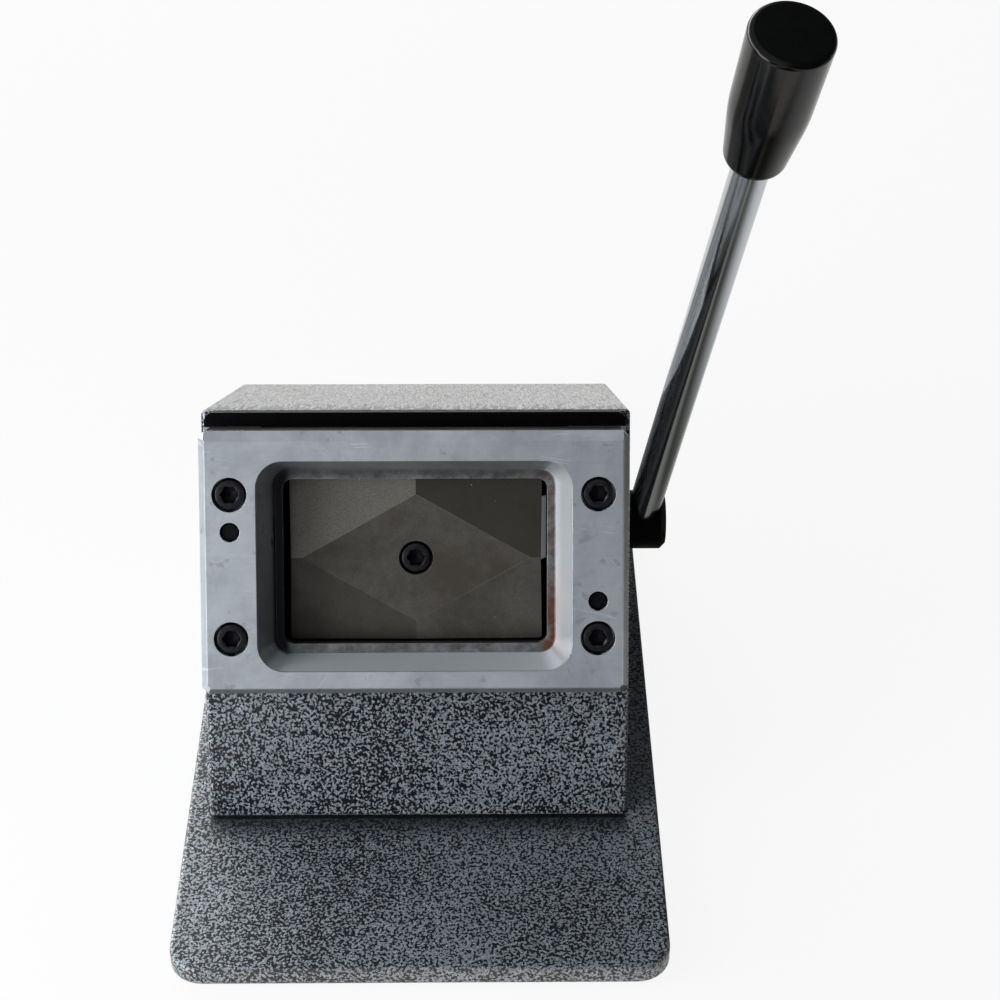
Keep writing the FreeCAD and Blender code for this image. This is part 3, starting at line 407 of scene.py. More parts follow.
@dataclass(frozen=True)
class HeadHammertone(Hammertone):
    """The same enamel on the casting, speckled darker along the front of its top.

    Top, front and fade are metres in the die frame: the height of the casting's top edge, how far behind the
    die its front edge lies, and how far back the specks reach.
    """

    pool_edge: Span = (0.473, 0.553)
    top: float = 0.0475
    front: float = 0.0280
    fade: float = 0.0350

    def gloss(self, graph: Graph) -> object:
        """Gloss drawn out along the top by the spray, with dull specks that crowd its front edge.

        Args:
            graph: Graph to fill.

        Returns:
            Share of the gloss.
        """
        drawn = graph.stretched((1.0, 0.085, 0.085))
        grain = graph.span(graph.noise(1250.0, 2.0, 0.6, 0.0, drawn), 0.32, 0.66, 0.38, 1.0)
        high = graph.span(graph.past(DieFrame.UP), self.top - 0.0004, self.top)
        near = graph.span(graph.past(-DieFrame.OUT), self.front + self.fade, self.front, 0.0, 0.26)
        specks = graph.math("ADD", graph.noise(760.0, 1.0, 0.5, 0.0, drawn), near)
        dull = graph.product(graph.span(specks, 0.64, 0.73), high)
        return graph.product(grain, graph.span(dull, 0.0, 1.0, 1.0, 0.12))


@dataclass(frozen=True)
class BaseHammertone(Hammertone):
    """The same enamel on the base, duller, with a painted shadow along the foot of the casting that stands on
    it and painted shade on its right.

    Apron and rim are metres from the machine's middle to the casting's foot and to the base's edges.
    """

    coat: float = 0.3
    coat_rough: float = 0.24
    smooth: float = 0.46
    rough: float = 0.56
    rounding: float = 0.0016
    apron_front: float = 0.0585
    apron_side: float = 0.07075
    rim_left: float = 0.0772
    rim_front: float = 0.1262
    rim_gloss: float = 3.2
    # strength of the painted shade on the strip right of the casting
    darkening: float = 0.35

    def gloss(self, graph: Graph) -> object:
        """Thicker gloss where the enamel has flowed round the left and front edges.

        Args:
            graph: Graph to fill.

        Returns:
            Share of the gloss.
        """
        rim = graph.math("MAXIMUM", graph.past(LEFT, self.rim_left * LEFT),
                         graph.past(AHEAD, self.rim_front * AHEAD))
        return graph.span(rim, -0.0008, 0.0002, 1.0, self.rim_gloss)

    def dirt_and_painted_shade(self, graph: Graph) -> Socket:
        """Painted shadow along the casting's foot, a black line fading forwards, and painted shade on the
        strip right of the casting, below the lever.

        Args:
            graph: Graph to fill.

        Returns:
            How much of the painted shadow and shade shows.
        """
        side = self.apron_side
        ahead = graph.past(AHEAD, self.apron_front * AHEAD)
        right = graph.past(DieFrame.ACROSS)
        # painted shadow: a black line at the casting's foot and a shade fading forwards from it
        line = graph.span(ahead, 0.0024, 0.0017)
        haze = graph.span(ahead, 0.0150, 0.0018, 0.0, 0.80)
        near = graph.product(graph.span(ahead, -0.0004, 0.0),
                             graph.span(graph.math("ABSOLUTE", right), side + 0.001, side - 0.001))
        foot = graph.product(graph.math("MAXIMUM", line, haze), near)
        # painted shade on the strip right of the casting, below the lever
        below = graph.product(graph.span(right, side - 0.0005, side + 0.0005),
                              graph.span(ahead, 0.030, -0.030), self.darkening)
        return graph.math("MAXIMUM", foot, below)


@dataclass(frozen=True)
class Machined(Finish):
    """Bare steel with the streaks of its tool or stone, faint stains and rubbed edges."""

    slot: str = "ground_steel"
    bright: Colour = (0.56, 0.57, 0.58)
    dull: Colour = (0.40, 0.41, 0.42)
    way: Way = Way.ACROSS
    streaks_per_metre: float = 1500.0
    drawn: float = 0.02
    metallic: float = 0.85
    smooth: float = 0.28
    rough: float = 0.45

    def streaks(self, graph: Graph) -> Socket:
        """Fine lines along the tool's way."""
        scale = tuple(max(self.drawn, share) for share in self.way.value)
        return graph.noise(self.streaks_per_metre, 2.0, 0.6, where=graph.stretched(scale))

    def paint(self, graph: Graph) -> None:
        """Streaks, stains and brighter edges.

        Args:
            graph: Graph to fill.
        """
        lines = self.streaks(graph)
        stains = graph.noise(45.0, 4.0, 0.6, 0.8)
        normal, edge = graph.edges(0.0003)
        colour = graph.layered(
            self.bright, (graph.span(stains, 0.35, 0.68), self.dull),
            (graph.span(lines, 0.35, 0.75, 0.0, 0.35), self.dull),
            (graph.product(edge, 0.6), scaled(self.bright, 1.25)))
        graph.set(base_color=colour, metallic=self.metallic,
                  roughness=graph.span(stains, 0.3, 0.7, self.smooth, self.rough),
                  normal=graph.relief(lines, 0.00001, 0.5, normal))


@dataclass(frozen=True)
class DieSteel(Machined):
    """Die plate's ground face, with hairline scratches, stains, a rusty corner on the window's ledge, and
    painted shade and light in the window.

    Spans are metres in the die frame, from where a mark is absent to where it is whole.
    """

    slot: str = "brushed_die_steel"
    bright: Colour = (0.70, 0.73, 0.765)
    dull: Colour = (0.50, 0.53, 0.56)
    streaks_per_metre: float = 1100.0
    metallic: float = 0.66
    smooth: float = 0.27
    rough: float = 0.37
    spot: Colour = (0.22, 0.23, 0.25)
    scratched: Colour = (0.97, 0.98, 1.0)
    worn: Colour = (0.90, 0.92, 0.94)
    rust: Colour = (0.17, 0.055, 0.022)
    # tone of the darker ledge
    ledge_dark: Colour = (0.105, 0.098, 0.088)
    # painted shadow: near-black at the ledge's left end
    pitch: Colour = (0.003, 0.003, 0.004)
    # painted shade: dark tone for the window's left and upper walls, the plate's right side, the ledge's top
    # and the plate's top side
    painted_shade: Colour = (0.035, 0.030, 0.024)
    # painted light: matt tone that makes the window's lower walls read as lit
    matt_lit: Colour = (0.66, 0.69, 0.72)
    # painted light: lighter tone of the window's right wall, which faces the lamps
    rubbed: Colour = (0.90, 0.92, 0.95)
    window_across: Span = (0.056, 0.053)
    window_up: Span = (0.0385, 0.0365)
    ledge_depth: float = 0.0125
    # span up the ledge over which it turns darker towards its top
    sooty_up: Span = (0.026, 0.029)
    pitch_across: Span = (-0.0395, -0.0425)
    rust_across: Span = (0.0395, 0.0435)
    rust_up: Span = (0.004, -0.024)

    def paint(self, graph: Graph) -> None:
        """Ground face, scratches, a darker blotchy ledge down in the window, painted shade and light in the
        window and on the plate's top, and rust.

        Args:
            graph: Graph to fill.
        """
        lines = self.streaks(graph)
        scratch = self.scratches(graph)
        stains = graph.noise(42.0, 6.0, 0.66, 0.3)
        smears = graph.noise(26.0, 4.0, 0.6, 0.2, graph.stretched((0.3, 1.0, 1.0)))
        spots = graph.span(graph.noise(210.0, 2.0, 0.5), 0.66, 0.72, 0.0, 0.30)
        normal, edge = graph.edges(0.00019)
        face = graph.layered(
            self.bright, (graph.span(stains, 0.36, 0.66), self.dull),
            (graph.span(smears, 0.48, 0.75, 0.0, 0.55), self.dull),
            (graph.span(lines, 0.42, 0.8, 0.0, 0.28), self.dull),
            (spots, self.spot), (graph.product(scratch, 0.5), self.scratched))
        across, up = graph.past(DieFrame.ACROSS), graph.past(DieFrame.UP)
        deep = graph.product(graph.past(DieFrame.OUT), -1.0)
        window = graph.product(graph.span(graph.math("ABSOLUTE", across), *self.window_across),
                               graph.span(graph.math("ABSOLUTE", up), *self.window_up))
        ledge = graph.product(window, graph.span(deep, self.ledge_depth - 0.0009, self.ledge_depth - 0.0002))
        upward = graph.facing(DieFrame.UP)
        sideways = graph.facing(DieFrame.ACROSS)
        walls = graph.product(graph.span(deep, 0.0002, 0.0007),
                              graph.span(deep, self.ledge_depth + 0.0001, self.ledge_depth - 0.0005))
        # painted light: the window's lower walls are made matt and less metallic so that they read as lit
        lower = graph.product(walls, graph.span(upward, 0.55, 0.85), graph.span(upward, 0.985, 0.965))
        # painted light: the window's right wall is coloured lighter
        right = graph.product(walls, window, graph.span(sideways, -0.5, -0.8))
        # painted shade: the window's left and upper walls, and the plate's right side and bevel, coloured
        # dark
        shaded = graph.product(walls, graph.span(graph.math("SUBTRACT", sideways, upward), 0.5, 0.8),
                               graph.span(window, 0.0, 1.0, 0.74, 0.42))
        # the whole ledge is coloured darker, in blotches
        darkening = graph.product(ledge, graph.span(graph.noise(260.0, 3.0, 0.6), 0.25, 0.75, 0.55, 0.95))
        # painted shadow: the left end of the ledge, in the shade of the left wall, coloured near-black
        left = graph.product(window, graph.span(deep, 0.0095, 0.0124), graph.span(across, *self.pitch_across))
        colour = graph.layered(
            face, (graph.product(lower, 0.8), self.matt_lit),
            (graph.product(right, 0.8), self.rubbed), (shaded, self.painted_shade), (darkening, self.ledge_dark),
            # the ledge is darker towards its top
            (graph.product(ledge, graph.span(up, *self.sooty_up), 0.55), self.painted_shade),
            (left, self.pitch), (self.rust_share(graph, ledge), self.rust),
            (graph.product(edge, 0.35), self.worn),
            # painted shade: the plate's top side, under the guide plate, coloured dark
            (graph.span(upward, 0.97, 0.99, 0.0, 0.96), self.painted_shade))
        height = graph.math("ADD", graph.product(lines, 0.5), graph.product(scratch, -0.5))
        graph.set(base_color=colour, metallic=graph.span(lower, 0.0, 1.0, self.metallic, 0.22),
                  roughness=graph.math("ADD", graph.span(stains, 0.3, 0.7, self.smooth, self.rough),
                                       graph.product(lower, 0.2)),
                  normal=graph.relief(height, 0.000012, 0.6, normal))

    def scratches(self, graph: Graph) -> Socket:
        """Sparse hairlines at several slants.

        Args:
            graph: Graph to fill.

        Returns:
            How much of a scratch shows.
        """
        total: Optional[Socket] = None
        for index, slant in enumerate((0.03, -0.12, 0.9)):
            where = graph.stretched((3.0, 3.0, 150.0), (0.0, slant, 0.0))
            wave = graph.noise(1.0, 1.0, 0.4, 0.0, where)
            ridge = graph.math("ABSOLUTE", graph.math("SUBTRACT", wave, 0.5))
            gate = graph.span(graph.noise(75.0 + 15.0 * index, 1.0), 0.62, 0.70)
            line = graph.product(graph.span(ridge, 0.0045, 0.001), gate)
            total = line if total is None else graph.math("MAXIMUM", total, line)
        return total

    def rust_share(self, graph: Graph, ledge: Socket) -> Socket:
        """Brown bloom on the right side of the ledge, thickest in its lower corner.

        Args:
            graph: Graph to fill.
            ledge: How much a point belongs to the ledge.

        Returns:
            How much of the rust shows.
        """
        low = graph.span(graph.past(DieFrame.UP), *self.rust_up, 0.22, 0.95)
        patches = graph.span(graph.noise(190.0, 3.0, 0.6), 0.36, 0.58)
        return graph.product(ledge, graph.span(graph.past(DieFrame.ACROSS), *self.rust_across), low, patches)


@dataclass(frozen=True)
class PunchSteel(Finish):
    """Dark tool steel, its face lapped towards the middle from each corner.

    Facets are told apart by how far their normals tilt from the die's axes; one is painted lighter and two
    darker, as painted light and shade.  Reaches are metres.
    """

    slot: str = "punch_steel"
    bright: Colour = (0.170, 0.157, 0.138)
    dull: Colour = (0.092, 0.081, 0.067)
    lit: Colour = (0.30, 0.284, 0.250)
    # painted shade: tone of the upper-right and lower-left facets
    dark: Colour = (0.040, 0.035, 0.028)
    brown: Colour = (0.060, 0.048, 0.038)
    ridged: Colour = (0.34, 0.33, 0.31)
    speck: Colour = (0.6, 0.6, 0.58)
    # painted shade: near-black tone of the slanted relief
    relief_shade: Colour = (0.006, 0.006, 0.005)
    # painted highlight: bright tone of the glint on the right-hand relief
    bare: Colour = (0.85, 0.85, 0.83)
    worn: Colour = (0.4, 0.4, 0.39)
    facet_across: float = 0.0375
    facet_up: float = 0.0210
    tilt_across: Span = (0.008, 0.016)
    tilt_up: Span = (0.012, 0.030)
    bare_up: Span = (-0.0010, 0.0205)
    bare_fade: float = 0.0006

    def paint(self, graph: Graph) -> None:
        """Lapping lines that slant with each facet, brown stains, a few bright specks, painted light and
        shade on the facets, painted shade on the relief and a painted glint on its right.

        Args:
            graph: Graph to fill.
        """
        lines = graph.noise(2100.0, 2.0, 0.6, where=graph.stretched((0.06, 1.0, 1.0), (0.0, 0.52, 0.0)))
        stains = graph.noise(36.0, 5.0, 0.65, 0.3)
        mottle = graph.span(graph.noise(2400.0, 3.0, 0.75), 0.36, 0.70, 0.0, 0.45)
        outward = graph.facing(DieFrame.OUT)
        # painted shade: the slanted relief round the face is coloured near-black
        slanted = graph.product(graph.span(outward, 0.95, 0.80), graph.span(outward, 0.15, 0.25), 0.9)
        # painted highlight: a glint strip on the right-hand relief
        bare = self.bare_strip(graph)
        normal, edge = graph.edges(0.00025)
        colour = graph.layered(
            self.bright, (graph.span(stains, 0.36, 0.66), self.dull),
            # painted light and shade: the upper-left facet coloured lighter, the upper-right and lower-left
            # ones darker
            (graph.product(self.facet(graph, -1, 1), 0.75), self.lit),
            (graph.product(self.facet(graph, 1, 1), 0.75), self.dark),
            (graph.product(self.facet(graph, -1, -1), 0.5), self.dark), (mottle, self.brown),
            (graph.span(lines, 0.4, 0.75, 0.0, 0.22), self.dull),
            (graph.product(self.ridge(graph), 0.14), self.ridged),
            (graph.span(graph.noise(900.0, 1.0), 0.80, 0.85), self.speck),
            (slanted, self.relief_shade), (bare, self.bare),
            (graph.product(edge, 0.25), self.worn))
        lapped = graph.relief(lines, 0.00001, 0.5, normal)
        # the glint strip's normal is turned to face out of the die
        levelled = graph.run("ShaderNodeMix", 1, {"Factor": bare, 4: lapped, 5: DieFrame.OUT},
                             data_type="VECTOR")
        graph.set(base_color=colour, metallic=0.6, roughness=graph.span(stains, 0.3, 0.7, 0.36, 0.50),
                  normal=levelled)

    def facet(self, graph: Graph, side: int, rise: int) -> Socket:
        """One of the four facets round the middle.

        Args:
            graph: Graph to fill.
            side: -1 for a left facet and 1 for a right one.
            rise: -1 for a lower facet and 1 for an upper one.

        Returns:
            1 on the facet and 0 elsewhere.
        """
        return graph.product(graph.span(graph.facing(rise * DieFrame.UP), *self.tilt_up),
                             graph.span(graph.facing(side * DieFrame.ACROSS), *self.tilt_across))

    def ridge(self, graph: Graph) -> Socket:
        """Bright line where the facets meet the diamond in the middle.

        Args:
            graph: Graph to fill.

        Returns:
            How much of the line shows.
        """
        across = graph.product(graph.math("ABSOLUTE", graph.past(DieFrame.ACROSS)), 1.0 / self.facet_across)
        up = graph.product(graph.math("ABSOLUTE", graph.past(DieFrame.UP)), 1.0 / self.facet_up)
        off = graph.math("ABSOLUTE", graph.math("SUBTRACT", graph.math("ADD", across, up), 1.0))
        return graph.product(graph.span(off, 0.020, 0.006), graph.span(graph.noise(70.0, 3.0), 0.35, 0.6))

    def bare_strip(self, graph: Graph) -> Socket:
        """Stretch of the right-hand relief that is painted bright as a glint.

        Args:
            graph: Graph to fill.

        Returns:
            1 on the strip and 0 elsewhere.
        """
        up = graph.past(DieFrame.UP)
        low, high = self.bare_up
        return graph.product(graph.span(graph.facing(DieFrame.ACROSS), 0.2, 0.35),
                             graph.span(graph.facing(DieFrame.OUT), 0.15, 0.25),
                             graph.span(up, low, low + self.bare_fade),
                             graph.span(up, high, high - self.bare_fade))


@dataclass(frozen=True)
class Blackened(Finish):
    """Black coat over steel, rubbed a little brighter along its edges."""

    slot: str = "blackened_steel"
    colour: Colour = (0.0010, 0.0010, 0.0013)
    rubbed: Colour = (0.030, 0.030, 0.033)
    rough: float = 0.46
    gloss: float = 0.08
    wear: float = 0.3

    def paint(self, graph: Graph) -> None:
        """Dark coat with faint mottling.

        Args:
            graph: Graph to fill.
        """
        mottle = graph.noise(300.0, 3.0, 0.6)
        normal, edge = graph.edges(0.00022)
        worn = graph.product(edge, graph.span(graph.noise(180.0, 2.0), 0.35, 0.7, 0.1, self.wear))
        colour = graph.layered(
            self.colour, (graph.span(mottle, 0.4, 0.75, 0.0, 0.6), scaled(self.colour, 2.4)),
            (worn, self.rubbed))
        graph.set(base_color=colour, specular_ior_level=self.gloss,
                  roughness=graph.span(mottle, 0.3, 0.7, self.rough - 0.05, self.rough + 0.07),
                  normal=graph.relief(mottle, 0.000012, 0.4, normal))


@dataclass(frozen=True)
class BlackOxide(Finish):
    """Black oxide on screws: satin, violet-black, with bare steel where a key has rubbed it."""

    slot: str = "black_screw"
    colour: Colour = (0.010, 0.0095, 0.012)
    rubbed: Colour = (0.20, 0.20, 0.21)
    # painted shade colour down in sockets and gaps
    socket_shade: Colour = (0.0006, 0.0006, 0.0006)

    def paint(self, graph: Graph) -> None:
        """Satin black with rubbed edges and a few bare nicks, with painted shade down in the socket and other
        hollows.

        Args:
            graph: Graph to fill.
        """
        mottle = graph.noise(700.0, 3.0, 0.6)
        normal, edge = graph.edges(0.00018)
        nicks = graph.span(graph.noise(1100.0, 1.0), 0.72, 0.80, 0.0, 0.5)
        worn = graph.math("MAXIMUM", graph.product(edge, graph.span(mottle, 0.42, 0.66, 0.02, 0.6)), nicks)
        # painted shade: colour and reflection go black where the surface is enclosed, as in the socket
        open_air = graph.span(graph.openness(0.0035), 0.35, 0.80)
        coat = graph.layered(
            self.colour, (graph.span(mottle, 0.35, 0.7), scaled(self.colour, 2.0)),
            (worn, self.rubbed))
        graph.set(base_color=graph.blend(open_air, self.socket_shade, coat), metallic=0.35,
                  specular_ior_level=graph.product(open_air, 0.4),
                  roughness=graph.span(mottle, 0.3, 0.7, 0.27, 0.38),
                  normal=graph.relief(mottle, 0.00001, 0.4, normal))


@dataclass(frozen=True)
class Chrome(Finish):
    """Polished plating with hair-fine lines along the rod."""

    slot: str = "chrome_rod"
    colour: Colour = (0.55, 0.58, 0.61)

    def paint(self, graph: Graph) -> None:
        """Bright plating with a slight haze.

        Args:
            graph: Graph to fill.
        """
        haze = graph.noise(60.0, 4.0, 0.6, where=graph.stretched((1.0, 1.0, 0.25)))
        lines = graph.noise(2400.0, 1.0, where=graph.stretched((1.0, 1.0, 0.01)))
        graph.set(base_color=self.colour, metallic=1.0, roughness=graph.span(haze, 0.3, 0.75, 0.10, 0.2),
                  normal=graph.relief(lines, 0.000004, 0.3))


@dataclass(frozen=True)
class Plastic(Finish):
    """Moulded black plastic, glossy, with the faint waviness of its mould."""

    slot: str = "knob_plastic"
    colour: Colour = (0.0014, 0.0014, 0.0016)

    def paint(self, graph: Graph) -> None:
        """Deep black under a soft gloss.

        Args:
            graph: Graph to fill.
        """
        wave = graph.noise(48.0, 2.0, 0.4)
        handling = graph.noise(240.0, 4.0, 0.7, 0.6)
        colour = graph.blend(graph.span(handling, 0.5, 0.8), self.colour, scaled(self.colour, 2.0))
        graph.set(base_color=colour, roughness=graph.span(handling, 0.35, 0.75, 0.11, 0.18),
                  specular_ior_level=0.34, normal=graph.relief(wave, 0.0001, 0.3))


@dataclass(frozen=True)
class Rubber(Finish):
    """Black rubber with a dusty, pebbled skin."""

    slot: str = "foot_rubber"
    colour: Colour = (0.014, 0.014, 0.015)
    dusty: Colour = (0.05, 0.049, 0.046)

    def paint(self, graph: Graph) -> None:
        """Matt black, paler where dust sits.

        Args:
            graph: Graph to fill.
        """
        dust = graph.span(graph.noise(120.0, 4.0, 0.6), 0.4, 0.75)
        graph.set(base_color=graph.blend(dust, self.colour, self.dusty), roughness=0.78,
                  normal=graph.relief(graph.cells(1400.0), 0.00008, 0.5))


@dataclass(frozen=True)
class Bronze(Finish):
    """Turned bronze with rings from the lathe and brown tarnish."""

    slot: str = "bush_bronze"
    colour: Colour = (0.62, 0.42, 0.19)
    tarnished: Colour = (0.33, 0.19, 0.08)

    def paint(self, graph: Graph) -> None:
        """Warm metal under patches of tarnish.

        Args:
            graph: Graph to fill.
        """
        tarnish = graph.noise(150.0, 4.0, 0.6)
        rings = graph.noise(3000.0, 1.0, where=graph.stretched((1.0, 0.02, 0.02)))
        graph.set(base_color=graph.blend(graph.span(tarnish, 0.35, 0.7), self.colour, self.tarnished),
                  metallic=0.95, roughness=graph.span(tarnish, 0.3, 0.7, 0.25, 0.45),
                  normal=graph.relief(rings, 0.000012, 0.5))


GROUND = Machined()
GROUND_FORWARD = Machined(slot="hardened_pin", way=Way.FORWARD, smooth=0.2, rough=0.34)
ZINC = Machined(slot="plated_screw", bright=(0.62, 0.63, 0.66), dull=(0.48, 0.49, 0.47), way=Way.UPRIGHT)
BLACKENED = Blackened()
BLACK_OXIDE = BlackOxide()
# dowel pins coloured near-black, darker than the screws, as painted shade of their recesses
SUNK_SHADED_PIN = BlackOxide(slot="dowel_pin", colour=(0.0016, 0.0015, 0.0020), rubbed=(0.06, 0.06, 0.065))
BRONZE = Bronze()


# -------------------------------------------------------------------------------------- studio
@dataclass(frozen=True)
class Lamp:
    """Flat lamp that faces the middle of the machine, with its power in watts."""

    name: str
    place: tuple[float, float, float]
    size: tuple[float, float]
    watts: float
    tint: Colour
    lights_matt: bool = True
    seen_in_gloss: bool = True
    aim: ClassVar[Vector] = Vector((0.0, 0.0, 0.09))

    def hang(self) -> None:
        """Add the lamp to the scene, out of the camera's sight."""
        data = bpy.data.lights.new(self.name, "AREA")
        data.shape = "RECTANGLE"
        data.size, data.size_y = self.size
        data.energy = self.watts
        data.color = self.tint
        lamp = bpy.data.objects.new(self.name, data)
        lamp.visible_camera = False
        lamp.visible_diffuse = self.lights_matt
        lamp.visible_glossy = self.seen_in_gloss
        lamp.location = self.place
        lamp.rotation_euler = (self.aim - Vector(self.place)).to_track_quat("-Z", "Y").to_euler()
        bpy.context.scene.collection.objects.link(lamp)


@dataclass
class Studio:
    """Camera, floor, room and lamps.

    The floor is paper: one tone for the camera, two for the light it throws back on to the machine, the
    darker one painted shade right of it, and a painted reflection tone for each stretch that polished
    faces mirror, among them a painted shadow near the machine.
    """

    lens_mm: float = 80.0
    sensor_mm: float = 36.0
    near_and_far: Span = (0.01, 50.0)
    eye: tuple[float, float, float] = (0.01946, -0.6011, 0.54887)
    pitch_down: float = math.radians(36.755)
    yaw_right: float = math.radians(0.80)
    roll: float = math.radians(-0.32)
    floor_reach: float = 8.0
    paper: Colour = (0.86, 0.86, 0.86)
    paper_glow: float = 0.90
    paper_bounced: Colour = (0.42, 0.42, 0.42)
    paper_shaded: Colour = (0.30, 0.30, 0.30)
    paper_behind: Colour = (0.87, 0.86, 0.85)
    paper_beside: Colour = (0.235, 0.23, 0.205)
    # painted shadow in reflections: floor right of the machine, near it
    paper_near: Colour = (0.070, 0.069, 0.060)
    paper_far: Colour = (0.76, 0.76, 0.75)
    paper_left: Colour = (0.95, 0.97, 1.0)
    paper_ahead: Colour = (0.06, 0.06, 0.065)
    paper_close: Colour = (0.98, 0.94, 0.88)
    window_side: Colour = (0.52, 0.55, 0.585)
    dark_side: Colour = (0.07, 0.074, 0.078)
    backdrop_dim: Colour = (0.34, 0.34, 0.34)
    backdrop: Colour = (1.0, 1.0, 0.98)
    ceiling: Colour = (0.40, 0.41, 0.42)
    white: Colour = (1.0, 1.0, 1.0)
    lamps: tuple[Lamp, ...] = (
        Lamp("back_lamp", (-0.62, 1.10, 0.80), (1.1, 0.50), 8.0, (1.0, 0.98, 0.94)),
        Lamp("side_lamp", (-0.50, -0.32, 0.22), (0.36, 0.36), 1.8, (0.96, 0.985, 1.0)),
        Lamp("veiled_side_lamp", (-0.50, -0.32, 0.22), (0.36, 0.36), 2.2, (0.96, 0.985, 1.0),
             seen_in_gloss=False),
        Lamp("window_strip", (-0.85, 0.15, 0.52), (1.10, 0.34), 5.0, (0.96, 0.98, 1.0), lights_matt=False))

    def build(self) -> None:
        """Set up everything round the object."""
        self.set_camera()
        self.lay_floor()
        self.light_room()
        for lamp in self.lamps:
            lamp.hang()

    def set_camera(self) -> None:
        """Camera at eye height in front of the machine, looking down at its window."""
        data = bpy.data.cameras.new("camera")
        data.lens = self.lens_mm
        data.sensor_width = self.sensor_mm
        data.clip_start, data.clip_end = self.near_and_far
        camera = bpy.data.objects.new("camera", data)
        ahead = Vector((math.sin(self.yaw_right) * math.cos(self.pitch_down),
                        math.cos(self.yaw_right) * math.cos(self.pitch_down), -math.sin(self.pitch_down)))
        right = Vector((math.cos(self.yaw_right), -math.sin(self.yaw_right), 0.0))
        down = ahead.cross(right)
        across = math.cos(self.roll) * right + math.sin(self.roll) * down
        below = -math.sin(self.roll) * right + math.cos(self.roll) * down
        turn = Matrix((across, -below, -ahead)).transposed()
        camera.matrix_world = Matrix.Translation(self.eye) @ turn.to_4x4()
        bpy.context.scene.collection.objects.link(camera)
        bpy.context.scene.camera = camera

    def lay_floor(self) -> None:
        """Pale floor that reads as white paper and still takes the object's shadow."""
        reach = self.floor_reach
        mesh = bpy.data.meshes.new("floor")
        mesh.from_pydata([(-reach, -reach, 0), (reach, -reach, 0), (reach, reach, 0), (-reach, reach, 0)], [],
                         [(0, 1, 2, 3)])
        floor = bpy.data.objects.new("floor", mesh)
        bpy.context.scene.collection.objects.link(floor)
        material = bpy.data.materials.new("paper_floor")
        material.use_nodes = True
        nodes = Nodes(material.node_tree)
        spot = nodes.add("ShaderNodeSeparateXYZ")
        nodes.feed(spot.inputs[0], nodes.add("ShaderNodeTexCoord").outputs["Object"])
        rays = nodes.add("ShaderNodeLightPath").outputs
        # painted shade: the floor throws back less light right of the machine
        thrown = nodes.blend(nodes.span(spot.outputs["X"], 0.06, 0.14), self.paper_bounced, self.paper_shaded)
        paper = nodes.blend(rays["Is Camera Ray"], thrown, self.paper)
        painted_reflections = self.painted_reflections(nodes, spot.outputs["X"], spot.outputs["Y"])
        glow = nodes.blend(rays["Is Glossy Ray"], self.white, painted_reflections)
        share = nodes.math("MAXIMUM", rays["Is Glossy Ray"],
                           nodes.product(rays["Is Camera Ray"], self.paper_glow))
        shown = nodes.mixed(share, nodes.run("ShaderNodeBsdfDiffuse", 0, {"Color": paper}),
                            nodes.run("ShaderNodeEmission", 0, {"Color": glow}))
        nodes.feed(nodes.add("ShaderNodeOutputMaterial").inputs["Surface"], shown)
        mesh.materials.append(material)

    def painted_reflections(self, nodes: Nodes, x: Socket, y: Socket) -> Socket:
        """Painted reflection tone that a polished face mirrors at each place of the floor.

        Args:
            nodes: Tree to add to.
            x: How far right of the machine's middle the place lies.
            y: How far behind it the place lies.

        Returns:
            The tone.
        """
        span = nodes.span
        far = nodes.math("MAXIMUM", span(x, 0.12, 0.27), span(y, 0.05, 0.20))
        right = nodes.product(span(x, 0.09, 0.12), span(x, 0.60, 0.45))
        left = nodes.product(span(x, -0.086, -0.092), span(x, -0.36, -0.26), span(y, 0.055, 0.035))
        close = nodes.product(span(y, -0.22, -0.17), span(y, -0.10, -0.12))
        # painted reflections: dark ahead, lighter beside, a painted shadow right of the machine near it,
        # light to the left, behind and close ahead
        return nodes.layered(
            self.paper_ahead, (span(y, -0.20, -0.10), self.paper_beside),
            (right, nodes.blend(far, self.paper_near, self.paper_far)),
            (left, self.paper_left), (span(y, 0.20, 0.27), self.paper_behind),
            (close, self.paper_close))

    def light_room(self) -> None:
        """Room with a window on the left, a dark right side and a white backdrop behind."""
        world = bpy.data.worlds.new("room")
        bpy.context.scene.world = world
        world.use_nodes = True
        nodes = Nodes(world.node_tree)
        span = nodes.span
        way = nodes.add("ShaderNodeSeparateXYZ")
        nodes.feed(way.inputs[0], nodes.add("ShaderNodeTexCoord").outputs["Generated"])
        x, y, z = way.outputs
        rays = nodes.add("ShaderNodeLightPath").outputs
        backdrop = nodes.blend(rays["Is Glossy Ray"], self.backdrop_dim, self.backdrop)
        tone = nodes.layered(
            self.window_side, (span(x, -0.27, 0.17), self.dark_side),
            (nodes.product(span(z, 0.50, 0.85), span(x, 0.30, 0.05)), self.ceiling),
            (nodes.product(span(y, 0.0, 0.40), span(z, 0.72, 0.55), span(x, 0.07, -0.02)),
                              backdrop))
        room, white = (nodes.run("ShaderNodeBackground", 0, {"Color": shade}) for shade in (tone, self.white))
        shown = nodes.mixed(rays["Is Camera Ray"], room, white)
        nodes.feed(nodes.add("ShaderNodeOutputWorld").inputs["Surface"], shown)


